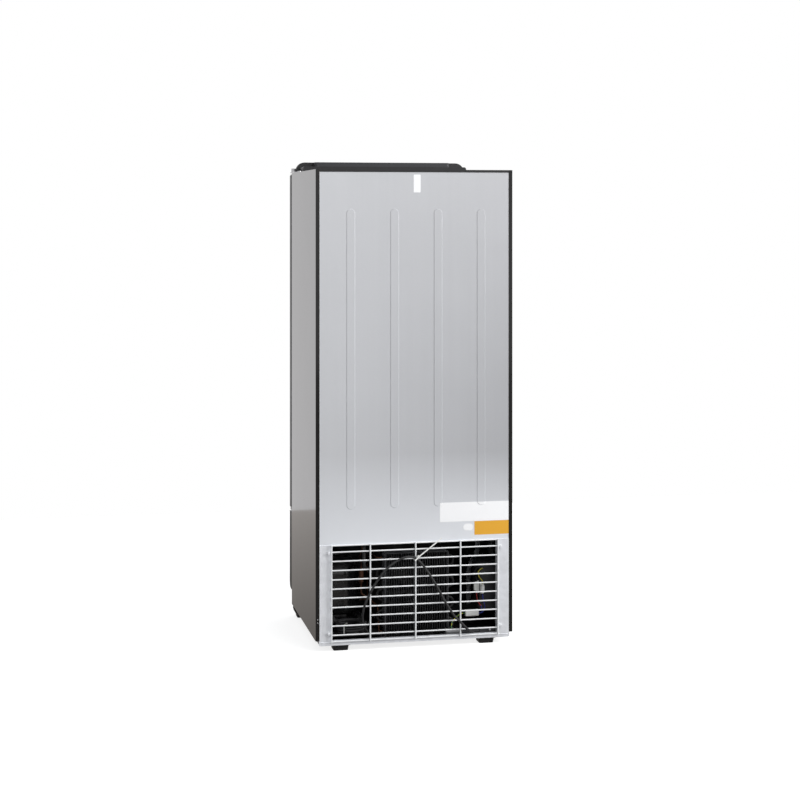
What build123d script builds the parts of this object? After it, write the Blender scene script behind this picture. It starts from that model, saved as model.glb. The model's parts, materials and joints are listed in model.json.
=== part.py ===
"""Upright fridge with a glass door, an open machine compartment below and a low crown on top."""
from build123d import *
import math
import os

os.makedirs("parts", exist_ok=True)

# Driving sizes in millimetres. X is to the right seen from the front, the front faces -Y and Z is up.
CABINET_WIDTH = 595.0
SIDE_DEPTH = 495.0
SIDE_HEIGHT = 1380.0
FOOT_HEIGHT = 18.5
SILL_HEIGHT = 14.5
COMPARTMENT_HEIGHT = 278.0
SHEET = 0.8
TRAY_SHEET = 1.2
FIT = 0.1
SIDE_RETURN = 11.3
TOP_RETURN = 7.5
FRONT_RETURN = 14.0

SIDE_INSULATION = 38.0
BACK_INSULATION = 40.0
ROOF_INSULATION = 45.0
FLOOR_INSULATION = 41.0
LINER_WALL = 1.2
COLLAR_FACE = 2.0
COLLAR_DEPTH = 30.0
COLLAR_WALL = 2.0

DOOR_THICKNESS = 44.0
DOOR_GAP = 8.0
DOOR_HEIGHT = 1071.0
DOOR_TOP_DROP = 5.5
DOOR_CORNER = 9.0
STILE_WIDTH = 46.0
GLASS_LAP = 12.0
GLASS_LIP = 4.0
PANE = 4.0
PANE_GAP = 10.0
SPACER_WIDTH = 8.0
GASKET_WIDTH = 14.0
GASKET_INSET = 16.0
SOFT_GAP = 0.3
HANDLE_PROUD = 34.0
HANDLE_BAR = 12.0
HANDLE_WIDTH = 22.0
HANDLE_LENGTH = 320.0
HANDLE_MIDDLE = 560.0

HINGE_INSET = 10.0
HINGE_BACK = 24.0
PIN_RADIUS = 4.0
PIN_REACH = 14.0
BUSH_RADIUS = 7.0
BUSH_FLANGE = 1.5
RUNNING_CLEARANCE = 0.05
BRACKET_SHEET = 3.0
BRACKET_WIDTH = 40.0
KNUCKLE_HEIGHT = 12.0

KICK_HEIGHT = 249.0
KICK_LIFT = 42.3
KICK_DEPTH = 52.0
KICK_WALL = 2.5
LOUVRE_PITCH = 18.0
LOUVRE_HEIGHT = 8.0
LOUVRE_LENGTH = 440.0
LOUVRE_COUNT = 9
FILTER_DEPTH = 6.0

CROWN_HEIGHT = 35.0
CROWN_BAND = 20.0
CROWN_WIDTH = 558.0
BAND_WIDTH = 534.0
CROWN_CORNER = 29.0
CROWN_FACE = 14.0
CROWN_REACH = 88.0
CROWN_WALL = 2.5
HOUSING_WIDTH = 444.0
HOUSING_DEPTH = 36.0

RIB_WIDTH = 25.0
RIB_LENGTH = 882.0
RIB_BOTTOM = 382.0
RIB_PITCH = 131.4
RIB_SHIFT = -4.0
RIB_COUNT = 4
RIB_RISE = 1.2

POST_WIDTH = 36.0
POST_RETURN = 20.0
SILL_WIDTH = 576.0
SILL_CORNER = 5.0
TRAY_INSET = 13.0
TRAY_UPSTAND = 10.0
FRONT_RAIL_DEPTH = 74.0
FRONT_RAIL_INSET = 4.0
FRONT_UPSTAND = 54.0

FOOT_FLANGE = 57.0
FOOT_FLANGE_THICKNESS = 2.5
FOOT_TOP = 48.0
FOOT_BOTTOM = 43.0
REAR_FOOT_X = 220.5
REAR_FOOT_INSET = 35.0
FRONT_FOOT_X = 265.0
FRONT_FOOT_INSET = 34.0

PLATFORM_LEFT = 100.0
PLATFORM_DEPTH = 330.0
PLATFORM_RISE = 9.0
PLATFORM_REAR_INSET = 11.0
COMPRESSOR_X = 200.0
COMPRESSOR_INSET = 236.0
COMPRESSOR_WIDTH = 140.0
COMPRESSOR_LENGTH = 162.0
COMPRESSOR_HEIGHT = 184.0
COMPRESSOR_CORNER = 62.0
GROMMET_HEIGHT = 16.0
GROMMET_RADIUS = 11.0

CONDENSER_LEFT = -110.0
CONDENSER_RIGHT = 80.0
CONDENSER_INSET = 46.0
CONDENSER_DEPTH = 50.0
CONDENSER_HEIGHT = 252.0
FIN_PITCH = 7.3
FIN_SHEET = 0.8
END_PLATE = 1.5
CONDENSER_TUBE = 8.0
CONDENSER_RUNS = 8
SHROUD_SHEET = 1.0
SHROUD_DEPTH = 26.0
FAN_RADIUS = 82.0
FAN_HUB = 20.0
FAN_DEPTH = 26.0
FAN_TIP_GAP = 5.0
SHAFT_RADIUS = 3.0
MOTOR_RADIUS = 34.0
MOTOR_LENGTH = 46.0
ARM_DIAMETER = 5.0

EVAPORATOR_FAN_RADIUS = 55.0
COVER_HEIGHT = 92.0
COVER_WALL = 1.5
COVER_FRONT_INSET = 60.0
COVER_BACK_INSET = 46.0
COIL_WIDTH = 380.0
COIL_DEPTH = 120.0
COIL_HEIGHT = 48.0
COIL_FIN_PITCH = 12.0

SHELF_COUNT = 3
SHELF_PITCH = 232.0
SHELF_FIRST = 236.0
SHELF_WIRE = 3.0
SHELF_RIM = 6.0
SHELF_WIRES = 17
SHELF_SIDE_GAP = 5.0
SHELF_FRONT_GAP = 24.0
STANDARD_WIDTH = 18.0
STANDARD_SHEET = 1.5
STANDARD_HEIGHT = 800.0
SLOT_PITCH = 50.0
SLOT_HEIGHT = 14.0
SLOT_WIDTH = 5.0
CLIP_REACH = 14.0

LEVEL_WIRE = 4.2
UPRIGHT_WIRE = 4.6
WELD = 0.6
GRILLE_STANDOFF = 0.3
GRILLE_HALF_WIDTH = 251.5
GRILLE_INNER_UPRIGHT = 136.2
GRILLE_TOP = 278.0
GRILLE_BOTTOM = -3.0
GRILLE_FIRST_LEVEL = 16.0
GRILLE_PITCH = 27.0
GRILLE_LEVELS = 10
SERVICE_LEVEL = 2
EAR_RADIUS = 6.0
EAR_HOLE = 2.6
EAR_SHEET = 2.4
EAR_OFFSET = 7.5
EAR_LOW = 21.4
EAR_HIGH = 256.8

LEAD_DIAMETER = 7.0
COIL_RADIUS = 47.5
COIL_STEP = 7.6
COIL_LAYERS = 4
TURNS_PER_LAYER = 2
COIL_X = 184.0
COIL_INSET = 64.0

# Places that follow from the sizes above.
HALF = CABINET_WIDTH / 2
SIDE_BOTTOM = FOOT_HEIGHT + SILL_HEIGHT
CABINET_TOP = SIDE_BOTTOM + SIDE_HEIGHT
DECK = SIDE_BOTTOM + COMPARTMENT_HEIGHT
GRILLE_PROUD = GRILLE_STANDOFF + LEVEL_WIRE + UPRIGHT_WIRE - WELD
FRONT_REACH = SIDE_DEPTH + DOOR_GAP + DOOR_THICKNESS + HANDLE_PROUD
REAR = (FRONT_REACH - GRILLE_PROUD) / 2
FRONT = REAR - SIDE_DEPTH
DOOR_BACK = FRONT - DOOR_GAP
DOOR_FACE = DOOR_BACK - DOOR_THICKNESS
DOOR_TOP = CABINET_TOP - DOOR_TOP_DROP
DOOR_BOTTOM = DOOR_TOP - DOOR_HEIGHT
BACK_FACE = REAR - SHEET - FIT
BACK_INNER = BACK_FACE - SHEET
INSIDE = HALF - SHEET - FIT
ROOM_HALF = HALF - SHEET - SIDE_INSULATION - LINER_WALL
ROOM_BACK = BACK_INNER - BACK_INSULATION - LINER_WALL
ROOM_TOP = CABINET_TOP - SHEET - ROOF_INSULATION - LINER_WALL
ROOM_FLOOR = DECK + SHEET + FLOOR_INSULATION + LINER_WALL
HINGE_X = HALF - HINGE_INSET
HINGE_Y = DOOR_BACK - HINGE_BACK
TRAY_TOP = FOOT_HEIGHT + TRAY_SHEET
PLATFORM_TOP = SIDE_BOTTOM + PLATFORM_RISE


def block(x, y, z):
    """A box from its low and high limits along each axis."""
    middle = Pos((x[0] + x[1]) / 2, (y[0] + y[1]) / 2, (z[0] + z[1]) / 2)
    return middle * Box(x[1] - x[0], y[1] - y[0], z[1] - z[0])


def rod(start, end, radius):
    """A round bar between two points."""
    line = Vector(*end) - Vector(*start)
    plane = Plane(origin=start, z_dir=line)
    return extrude(plane * Circle(radius), line.length)


def ring(outer, inner, start, length):
    """A ring standing along Z from a start point."""
    sketch = Circle(outer) - Circle(inner)
    return Pos(*start) * extrude(sketch, length)


def frame_ring(x, z, width, y):
    """A rectangular ring in the XZ plane; width is the ring's breadth on every side."""
    outer = block(x, y, z)
    hole_y = (y[0] - 1, y[1] + 1)
    return outer - block((x[0] + width, x[1] - width), hole_y, (z[0] + width, z[1] - width))


def mirrored(shape):
    """The same piece on the other side of the cabinet."""
    return mirror(shape, about=Plane.YZ)


def bend_radii(points, least):
    """The largest arc that each corner's two runs allow, after a printed check."""
    vectors = [Vector(*p) for p in points]
    radii = []
    for a, b, c in zip(vectors, vectors[1:], vectors[2:]):
        turn = math.radians((b - a).get_angle(c - b))
        radii.append(0.45 * min((b - a).length, (c - b).length) / math.tan(turn / 2))
    if min(radii) < least:
        print("small radius", [round(r, 1) for r in radii], "under", least)
    return radii


def pipe(points, diameter, radii=None):
    """A round tube swept along straight runs joined by tangent arcs."""
    if radii is None:
        radii = bend_radii(points, diameter)
    path = FilletPolyline(*points, radius=radii)
    start = Plane(origin=points[0], z_dir=Vector(*points[1]) - Vector(*points[0]))
    return sweep(start * Circle(diameter / 2), path=path)


def save(name, *solids):
    """Writes one named piece, or a group of like pieces, to its file."""
    shape = solids[0] if len(solids) == 1 else Compound(children=list(solids))
    export_step(shape, f"parts/{name}.step")


# Cabinet shell.

def right_side_panel():
    """Steel side with a narrow return behind and one in front."""
    levels = (SIDE_BOTTOM, CABINET_TOP)
    wall = block((HALF - SHEET, HALF), (FRONT, REAR), levels)
    rear_return = block((HALF - SIDE_RETURN, HALF), (REAR - SHEET, REAR), levels)
    front_return = block((HALF - FRONT_RETURN, HALF), (FRONT, FRONT + SHEET), levels)
    panel = wall + rear_return + front_return
    corners = panel.edges().filter_by(Axis.Z).group_by(Axis.X)[-1]
    return fillet(corners, SHEET * 0.9)


def top_panel():
    """Roof sheet whose rear edge turns down between the side returns."""
    roof = block(
        (-INSIDE, INSIDE),
        (FRONT + SHEET + FIT, REAR - SHEET - FIT),
        (CABINET_TOP - SHEET, CABINET_TOP),
    )
    return_half = HALF - SIDE_RETURN - FIT
    turned = block(
        (-return_half, return_half), (REAR - SHEET, REAR), (CABINET_TOP - TOP_RETURN, CABINET_TOP)
    )
    bridge = block(
        (-return_half, return_half),
        (REAR - 3 * SHEET, REAR - SHEET / 2),
        (CABINET_TOP - SHEET, CABINET_TOP),
    )
    return roof + bridge + turned


def back_panel():
    """Back sheet with pressed vertical ribs and a rolled lower edge."""
    sheet = block((-INSIDE, INSIDE), (BACK_INNER, BACK_FACE), (DECK, CABINET_TOP - SHEET - FIT))
    first = RIB_SHIFT - RIB_PITCH * (RIB_COUNT - 1) / 2
    middle_z = SIDE_BOTTOM + RIB_BOTTOM + RIB_LENGTH / 2
    for index in range(RIB_COUNT):
        plane = Plane(
            origin=(first + index * RIB_PITCH, BACK_FACE, middle_z), x_dir=(0, 0, 1), z_dir=(0, 1, 0)
        )
        rib = extrude(plane * SlotOverall(RIB_LENGTH, RIB_WIDTH), RIB_RISE)
        rib = chamfer(rib.faces().sort_by(Axis.Y)[-1].edges(), RIB_RISE * 0.9)
        sheet += rib
    half_hem = HALF - SIDE_RETURN - FIT
    hem_y = BACK_INNER + SHEET
    hem = rod((-half_hem, hem_y, DECK + SHEET), (half_hem, hem_y, DECK + SHEET), SHEET)
    return sheet + hem


def room_block(grow, front):
    """The cold room's space, grown on every closed side, from a front plane to its back."""
    return block(
        (-ROOM_HALF - grow, ROOM_HALF + grow),
        (front, ROOM_BACK + grow),
        (ROOM_FLOOR - grow, ROOM_TOP + grow),
    )


def insulation_foam(passages):
    """Foam between the skins, with the cold room and the line passages left open."""
    foam = block(
        (-INSIDE, INSIDE),
        (FRONT + SHEET + FIT, BACK_INNER),
        (DECK + SHEET, CABINET_TOP - SHEET),
    )
    foam -= room_block(LINER_WALL, FRONT - 1)
    collar_half = ROOM_HALF + COLLAR_WALL
    foam -= block(
        (-collar_half, collar_half),
        (FRONT, FRONT + COLLAR_DEPTH),
        (ROOM_FLOOR - COLLAR_WALL, ROOM_TOP + COLLAR_WALL),
    )
    for passage in passages:
        foam -= passage
    return foam


def inner_liner(passages):
    """Moulded white liner of the cold room, open in front."""
    liner = room_block(LINER_WALL, FRONT + COLLAR_DEPTH) - room_block(0, FRONT)
    for passage in passages:
        liner -= passage
    return liner


def front_collar():
    """Plastic frame that faces the opening and that the gasket closes on."""
    edge = 3.0
    face = block(
        (-HALF + edge, HALF - edge),
        (FRONT - COLLAR_FACE, FRONT),
        (DOOR_BOTTOM - edge, CABINET_TOP - edge),
    )
    collar = block(
        (-ROOM_HALF - COLLAR_WALL, ROOM_HALF + COLLAR_WALL),
        (FRONT - COLLAR_FACE, FRONT + COLLAR_DEPTH),
        (ROOM_FLOOR - COLLAR_WALL, ROOM_TOP + COLLAR_WALL),
    )
    return face + collar - room_block(0, FRONT - COLLAR_FACE - 1)


def compartment_frame():
    """Galvanised ceiling of the machine compartment with its two rear posts."""
    inner = HALF - SHEET - FIT
    ceiling = block((-inner, inner), (FRONT + SHEET + FIT, BACK_INNER), (DECK, DECK + SHEET))
    front_half = HALF - FRONT_RETURN - FIT
    ceiling += block(
        (-front_half, front_half), (FRONT, FRONT + SHEET), (DECK - 2 * TRAY_UPSTAND, DOOR_BOTTOM + 5)
    )
    ceiling += block((-front_half, front_half), (FRONT, FRONT + 2 * SHEET), (DECK, DECK + SHEET))
    outer_x = HALF - SIDE_RETURN - FIT
    inner_x = outer_x - POST_WIDTH
    levels = (SIDE_BOTTOM + FIT, DECK)
    post = block((inner_x, outer_x), (REAR - SHEET, REAR), levels)
    post += block((inner_x, inner_x + SHEET), (REAR - POST_RETURN, REAR), levels)
    outer_edge = post.edges().filter_by(Axis.Z).filter_by_position(Axis.X, inner_x - FIT, inner_x + FIT)
    post = fillet(outer_edge.sort_by(Axis.Y)[-1], SHEET * 0.9)
    tab = block((inner_x, outer_x), (BACK_INNER - POST_RETURN, REAR), (DECK - SHEET, DECK))
    return ceiling + post + tab + mirrored(post + tab)


def rear_sill():
    """Galvanised cross-member below the grille, with rounded lower corners."""
    half = SILL_WIDTH / 2
    face = block((-half, half), (REAR - TRAY_SHEET, REAR), (FOOT_HEIGHT, SIDE_BOTTOM))
    corners = face.edges().filter_by(Axis.Y).group_by(Axis.Z)[0]
    face = fillet(corners, SILL_CORNER)
    lip = block(
        (-half + SILL_CORNER, half - SILL_CORNER),
        (REAR - TRAY_UPSTAND, REAR),
        (SIDE_BOTTOM - TRAY_SHEET, SIDE_BOTTOM),
    )
    bead_z = FOOT_HEIGHT + SILL_HEIGHT * 0.62
    bead = rod((-half + SILL_CORNER, REAR, bead_z), (half - SILL_CORNER, REAR, bead_z), TRAY_SHEET)
    return face + lip + bead


def base_tray():
    """Base sheet with turned-up edges and a wider folded rail at the front."""
    half = HALF - TRAY_INSET
    rear = REAR - TRAY_SHEET - FIT
    top = SIDE_BOTTOM - TRAY_SHEET - FIT
    tray = block((-half, half), (FRONT, rear), (FOOT_HEIGHT, TRAY_TOP))
    tray += block((-half, half), (rear - TRAY_SHEET, rear), (FOOT_HEIGHT, top))
    side = block(
        (half - TRAY_SHEET, half), (FRONT + TRAY_SHEET, rear), (FOOT_HEIGHT, SIDE_BOTTOM + TRAY_UPSTAND)
    )
    rail_half = HALF - FRONT_RAIL_INSET
    rail = block((-rail_half, rail_half), (FRONT, FRONT + FRONT_RAIL_DEPTH), (FOOT_HEIGHT, TRAY_TOP))
    rail += block((-rail_half, rail_half), (FRONT, FRONT + TRAY_SHEET), (FOOT_HEIGHT, top))
    front_half = HALF - FRONT_RETURN - FIT
    upstand = (FOOT_HEIGHT, SIDE_BOTTOM + FRONT_UPSTAND)
    rail += block((-front_half, front_half), (FRONT, FRONT + TRAY_SHEET), upstand)
    wing = block((half, HALF - SHEET - FIT), (FRONT + TRAY_SHEET, REAR - POST_RETURN), (0, TRAY_SHEET))
    wing = Pos(0, 0, SIDE_BOTTOM + TRAY_UPSTAND - TRAY_SHEET) * wing
    return tray + side + mirrored(side) + rail + wing + mirrored(wing)


def foot(x, y):
    """Moulded foot: a flange and a tapering block."""
    flange = extrude(RectangleRounded(FOOT_FLANGE, FOOT_FLANGE, 6), FOOT_FLANGE_THICKNESS)
    flange = Pos(0, 0, FOOT_HEIGHT - FOOT_FLANGE_THICKNESS) * flange
    top = Pos(0, 0, FOOT_HEIGHT - FOOT_FLANGE_THICKNESS) * RectangleRounded(FOOT_TOP, FOOT_TOP, 5)
    body = loft([RectangleRounded(FOOT_BOTTOM, FOOT_BOTTOM, 5), top])
    return Pos(x, y, 0) * (flange + body)


def kick_panel():
    """Moulded louvred cover of the machine compartment, curving in at its foot, and its filter mat."""
    low, high = SIDE_BOTTOM + KICK_LIFT, SIDE_BOTTOM + KICK_LIFT + KICK_HEIGHT
    face = FRONT - KICK_DEPTH

    def shell(inset, radius):
        solid = block((-HALF + inset, HALF - inset), (face + inset, FRONT - FIT), (low + inset, high - inset))
        front_edges = solid.faces().sort_by(Axis.Y)[0].edges()
        foot_edge = front_edges.filter_by(Axis.X).sort_by(Axis.Z)[0]
        solid = fillet(foot_edge, radius)
        rest = solid.edges().filter_by(Axis.Z).sort_by(Axis.Y)[:2]
        return fillet(rest, max(DOOR_CORNER - 5.0 - inset / 2, 1.0))

    panel = shell(0, 26.0) - Pos(0, 1, 0) * shell(KICK_WALL, 26.0 - KICK_WALL)
    open_back = (low + KICK_WALL, high - KICK_WALL)
    panel -= block((-HALF + KICK_WALL, HALF - KICK_WALL), (FRONT - 2, FRONT + 1), open_back)
    first = high - 3 * LOUVRE_PITCH
    for index in range(LOUVRE_COUNT):
        plane = Plane(origin=(0, face - 1, first - index * LOUVRE_PITCH), x_dir=(1, 0, 0), z_dir=(0, 1, 0))
        panel -= extrude(plane * SlotOverall(LOUVRE_LENGTH, LOUVRE_HEIGHT), KICK_WALL + 2)
    margin = 2 * LOUVRE_HEIGHT
    across = LOUVRE_LENGTH / 2 + margin
    filter_z = (first - (LOUVRE_COUNT - 1) * LOUVRE_PITCH - margin, first + margin)
    mat = block((-across, across), (face + KICK_WALL, face + KICK_WALL + FILTER_DEPTH), filter_z)
    return panel, mat


def crown_profile(width, height, radius, y, depth):
    """A bar across the cabinet whose upper corners are rounded."""
    bar = block((-width / 2, width / 2), (y, y + depth), (CABINET_TOP, CABINET_TOP + height))
    corners = bar.edges().filter_by(Axis.Y).group_by(Axis.Z)[-1]
    return fillet(corners, radius)


def crown_fascia():
    """Arched front of the crown with a low band behind that stands on the roof."""
    arch = crown_profile(CROWN_WIDTH, CROWN_HEIGHT, CROWN_CORNER, DOOR_FACE, CROWN_FACE)
    arch = fillet(arch.faces().sort_by(Axis.Y)[0].edges().filter_by(Axis.X).sort_by(Axis.Z)[-1], 2)
    band = crown_profile(BAND_WIDTH, CROWN_BAND, CROWN_BAND / 3, DOOR_FACE + CROWN_FACE / 2, CROWN_REACH)
    hollow = block(
        (-BAND_WIDTH / 2 + CROWN_WALL, BAND_WIDTH / 2 - CROWN_WALL),
        (DOOR_FACE + CROWN_FACE, DOOR_FACE + CROWN_FACE / 2 + CROWN_REACH - CROWN_WALL),
        (CABINET_TOP - 1, CABINET_TOP + CROWN_BAND - CROWN_WALL),
    )
    bracket_left = HALF - FIT - BRACKET_WIDTH - 1
    notch = block(
        (bracket_left, HALF),
        (DOOR_FACE, DOOR_FACE + 2 * CROWN_REACH),
        (CABINET_TOP - 1, CABINET_TOP + BRACKET_SHEET + 1),
    )
    notch &= block((0, HALF), (HINGE_Y - HINGE_INSET - 1, FRONT + 62), (0, 2 * CABINET_TOP))
    return arch + band - hollow - notch


def crown_housing():
    """Long box on the crown's band that covers the light's driver."""
    base = CABINET_TOP + CROWN_BAND
    y = DOOR_FACE + CROWN_FACE
    box = block(
        (-HOUSING_WIDTH / 2, HOUSING_WIDTH / 2), (y, y + HOUSING_DEPTH), (base, CABINET_TOP + CROWN_HEIGHT)
    )
    ends = box.edges().filter_by(Axis.Z).sort_by(Axis.Y)[-2:]
    box = fillet(ends, 8)
    return chamfer(box.faces().sort_by(Axis.Z)[-1].edges().sort_by(Axis.Y)[-1], 1)


# Door and hinges.

def door_frame():
    """Moulded frame of the door: front lip, glass pocket, sockets for the bushes."""
    body = block((-HALF, HALF), (DOOR_FACE, DOOR_BACK), (DOOR_BOTTOM, DOOR_TOP))
    front = body.faces().sort_by(Axis.Y)[0]
    body = fillet(front.edges().filter_by(Axis.Z), DOOR_CORNER)
    body = fillet(body.faces().sort_by(Axis.Y)[0].edges().filter_by(Axis.X), DOOR_CORNER / 2)
    window = block(
        (-HALF + STILE_WIDTH, HALF - STILE_WIDTH),
        (DOOR_FACE - 1, DOOR_BACK + 1),
        (DOOR_BOTTOM + STILE_WIDTH, DOOR_TOP - STILE_WIDTH),
    )
    pocket_width = STILE_WIDTH - GLASS_LAP
    pocket = block(
        (-HALF + pocket_width, HALF - pocket_width),
        (DOOR_FACE + GLASS_LIP, DOOR_BACK + 1),
        (DOOR_BOTTOM + pocket_width, DOOR_TOP - pocket_width),
    )
    body = body - window - pocket
    for level in (DOOR_BOTTOM - 1, DOOR_TOP - PIN_REACH - BUSH_FLANGE):
        body -= Pos(HINGE_X, HINGE_Y, level) * extrude(Circle(BUSH_RADIUS), PIN_REACH + BUSH_FLANGE + 1)
    return body


def glass_size(inset):
    """Limits of the glass unit across and up, inset from its edge."""
    edge = STILE_WIDTH - GLASS_LAP + FIT + inset
    return (-HALF + edge, HALF - edge), (DOOR_BOTTOM + edge, DOOR_TOP - edge)


def pane(front):
    """One sheet of the glass unit, starting at a depth behind the door's face."""
    x, z = glass_size(0)
    y = DOOR_FACE + GLASS_LIP + front
    return block(x, (y, y + PANE), z)


def glass_spacer():
    """Spacer bar between the two panes."""
    x, z = glass_size(3.0)
    y = DOOR_FACE + GLASS_LIP + PANE
    return frame_ring(x, z, SPACER_WIDTH, (y, y + PANE_GAP))


def door_gasket():
    """Soft seal on the back of the door, a small gap from the collar."""
    x = (-HALF + GASKET_INSET, HALF - GASKET_INSET)
    z = (DOOR_BOTTOM + GASKET_INSET, DOOR_TOP - GASKET_INSET)
    face = FRONT - COLLAR_FACE - SOFT_GAP
    base = frame_ring(x, z, GASKET_WIDTH, (DOOR_BACK, DOOR_BACK + 2))
    inset = 2.5
    bulb_x, bulb_z = (x[0] + inset, x[1] - inset), (z[0] + inset, z[1] - inset)
    return base + frame_ring(bulb_x, bulb_z, GASKET_WIDTH - 2 * inset, (DOOR_BACK, face))


def door_handle():
    """Bow handle on the opening stile."""
    x = -HALF + STILE_WIDTH / 2
    low = DOOR_BOTTOM + HANDLE_MIDDLE - HANDLE_LENGTH / 2
    high = low + HANDLE_LENGTH
    face = DOOR_FACE - HANDLE_PROUD
    outline = block((x - HANDLE_WIDTH / 2, x + HANDLE_WIDTH / 2), (face, DOOR_FACE), (low, high))
    outline = fillet(outline.faces().sort_by(Axis.Y)[0].edges().filter_by(Axis.X), 20)
    gap = block(
        (x - HANDLE_WIDTH, x + HANDLE_WIDTH),
        (face + HANDLE_BAR, DOOR_FACE + 1),
        (low + 2 * HANDLE_BAR, high - 2 * HANDLE_BAR),
    )
    gap = fillet(gap.faces().sort_by(Axis.Y)[0].edges().filter_by(Axis.X), 12)
    handle = outline - gap
    return fillet(handle.faces().sort_by(Axis.Y)[0].edges().filter_by(Axis.Z), 4)


def hinge_bush(level, flange_level):
    """Plain bush pressed into the door."""
    bore = PIN_RADIUS + RUNNING_CLEARANCE
    sleeve = ring(BUSH_RADIUS, bore, (HINGE_X, HINGE_Y, level), PIN_REACH)
    return sleeve + ring(BUSH_RADIUS + 2, bore, (HINGE_X, HINGE_Y, flange_level), BUSH_FLANGE)


def hinge_plate(level):
    """Flat plate with a rounded nose and a hole for the pin."""
    right = HALF - FIT
    tail = block(
        (right - BRACKET_WIDTH, right), (HINGE_Y, FRONT - COLLAR_FACE), (level, level + BRACKET_SHEET)
    )
    nose_radius = HINGE_INSET - FIT
    nose = Pos(HINGE_X, HINGE_Y, level) * extrude(Circle(nose_radius), BRACKET_SHEET)
    plate = tail + nose
    return plate - Pos(HINGE_X, HINGE_Y, level - 1) * extrude(Circle(PIN_RADIUS), BRACKET_SHEET + 2)


def top_hinge_bracket():
    """Plate screwed on the roof that reaches over the door."""
    right = HALF - FIT
    foot_plate = block(
        (right - BRACKET_WIDTH, right),
        (FRONT - COLLAR_FACE, FRONT + 60),
        (CABINET_TOP, CABINET_TOP + BRACKET_SHEET),
    )
    return hinge_plate(CABINET_TOP) + foot_plate


def bottom_hinge_bracket():
    """Angle screwed to the front below the opening; its plate carries the door."""
    level = DOOR_BOTTOM - BUSH_FLANGE - FIT - BRACKET_SHEET
    right = HALF - FIT
    face = FRONT - COLLAR_FACE
    leg = block((right - BRACKET_WIDTH, right), (face - BRACKET_SHEET, face), (level, DOOR_BOTTOM + 9))
    return hinge_plate(level) + leg


def hinge_pins():
    """Upper pin with its tall knuckle and lower pin with its head."""
    upper_plate = CABINET_TOP
    upper = rod(
        (HINGE_X, HINGE_Y, DOOR_TOP - PIN_REACH + 1),
        (HINGE_X, HINGE_Y, upper_plate + BRACKET_SHEET + 1),
        PIN_RADIUS,
    )
    knuckle = extrude(Circle(BUSH_RADIUS), KNUCKLE_HEIGHT)
    knuckle = Pos(HINGE_X, HINGE_Y, upper_plate + BRACKET_SHEET) * knuckle
    knuckle = chamfer(knuckle.faces().sort_by(Axis.Z)[-1].edges(), 1)
    lower_plate = DOOR_BOTTOM - BUSH_FLANGE - FIT - BRACKET_SHEET
    lower = rod(
        (HINGE_X, HINGE_Y, lower_plate - 2), (HINGE_X, HINGE_Y, DOOR_BOTTOM + PIN_REACH - 1), PIN_RADIUS
    )
    head = Pos(HINGE_X, HINGE_Y, lower_plate - 3) * extrude(Circle(BUSH_RADIUS), 3)
    return upper + knuckle, lower + head


# Cold room fittings.

COVER_FRONT = FRONT + COVER_FRONT_INSET
COVER_BACK = ROOM_BACK - COVER_BACK_INSET
COVER_FLOOR = ROOM_TOP - COVER_HEIGHT
COVER_HALF = ROOM_HALF - 4.0
ROOM_FAN_Y = COVER_FRONT + EVAPORATOR_FAN_RADIUS + 35.0
COIL_BACK = COVER_BACK - 12.0
COIL_LEVEL = ROOM_TOP - FIT - COIL_HEIGHT / 2

SUCTION_TUBE = 9.0
STUB_LENGTH = 6.0
SUCTION_X = 150.0
SUCTION_Y = BACK_INNER - BACK_INSULATION / 2
PORT_X = COMPRESSOR_X - COMPRESSOR_WIDTH / 2 - STUB_LENGTH
SUCTION_PORT = (PORT_X, REAR - COMPRESSOR_INSET + 30, SIDE_BOTTOM + 132)
suction_points = [
    (SUCTION_X, COIL_BACK + FIT, COIL_LEVEL),
    (SUCTION_X, SUCTION_Y, COIL_LEVEL),
    (SUCTION_X, SUCTION_Y, SIDE_BOTTOM + 205),
    (SUCTION_PORT[0] - 17, SUCTION_PORT[1] + 60, SUCTION_PORT[2] + 45),
    (SUCTION_PORT[0] - 17, SUCTION_PORT[1], SUCTION_PORT[2]),
    SUCTION_PORT,
]

DRAIN_TUBE = 16.0
DRAIN_X = -(ROOM_HALF + LINER_WALL + SIDE_INSULATION / 2)
DRAIN_Y = FRONT + 150.0
DRAIN_LEVEL = COVER_FLOOR + COVER_WALL + DRAIN_TUBE / 2 + 1
drain_points = [
    (-COVER_HALF + 12, DRAIN_Y, DRAIN_LEVEL),
    (DRAIN_X, DRAIN_Y, DRAIN_LEVEL),
    (DRAIN_X, DRAIN_Y, SIDE_BOTTOM + 180),
    (DRAIN_X + 30, DRAIN_Y, SIDE_BOTTOM + 120),
    (DRAIN_X + 30, DRAIN_Y, TRAY_TOP + 14),
]
SUCTION_BENDS = [18, 24, 30, 14, 9]
DRAIN_BENDS = [10, 30, 30]
passages = [
    pipe(suction_points, SUCTION_TUBE + 4 * FIT, SUCTION_BENDS[:4]),
    pipe(drain_points, DRAIN_TUBE + 4 * FIT, DRAIN_BENDS),
]


def shelf_standards():
    """Slotted strips on the side walls that carry the shelf clips."""
    low = ROOM_FLOOR + 20
    strips = []
    for y in STANDARD_YS:
        strip = block(
            (ROOM_HALF - STANDARD_SHEET, ROOM_HALF),
            (y - STANDARD_WIDTH / 2, y + STANDARD_WIDTH / 2),
            (low, low + STANDARD_HEIGHT),
        )
        slots = int((STANDARD_HEIGHT - SLOT_PITCH) / SLOT_PITCH) + 1
        first = low + (STANDARD_HEIGHT - (slots - 1) * SLOT_PITCH) / 2
        for index in range(slots):
            z = first + index * SLOT_PITCH
            strip -= block(
                (ROOM_HALF - STANDARD_SHEET - 1, ROOM_HALF + 1),
                (y - SLOT_WIDTH / 2, y + SLOT_WIDTH / 2),
                (z - SLOT_HEIGHT / 2, z + SLOT_HEIGHT / 2),
            )
        strips += [strip, mirrored(strip)]
    return strips


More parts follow.
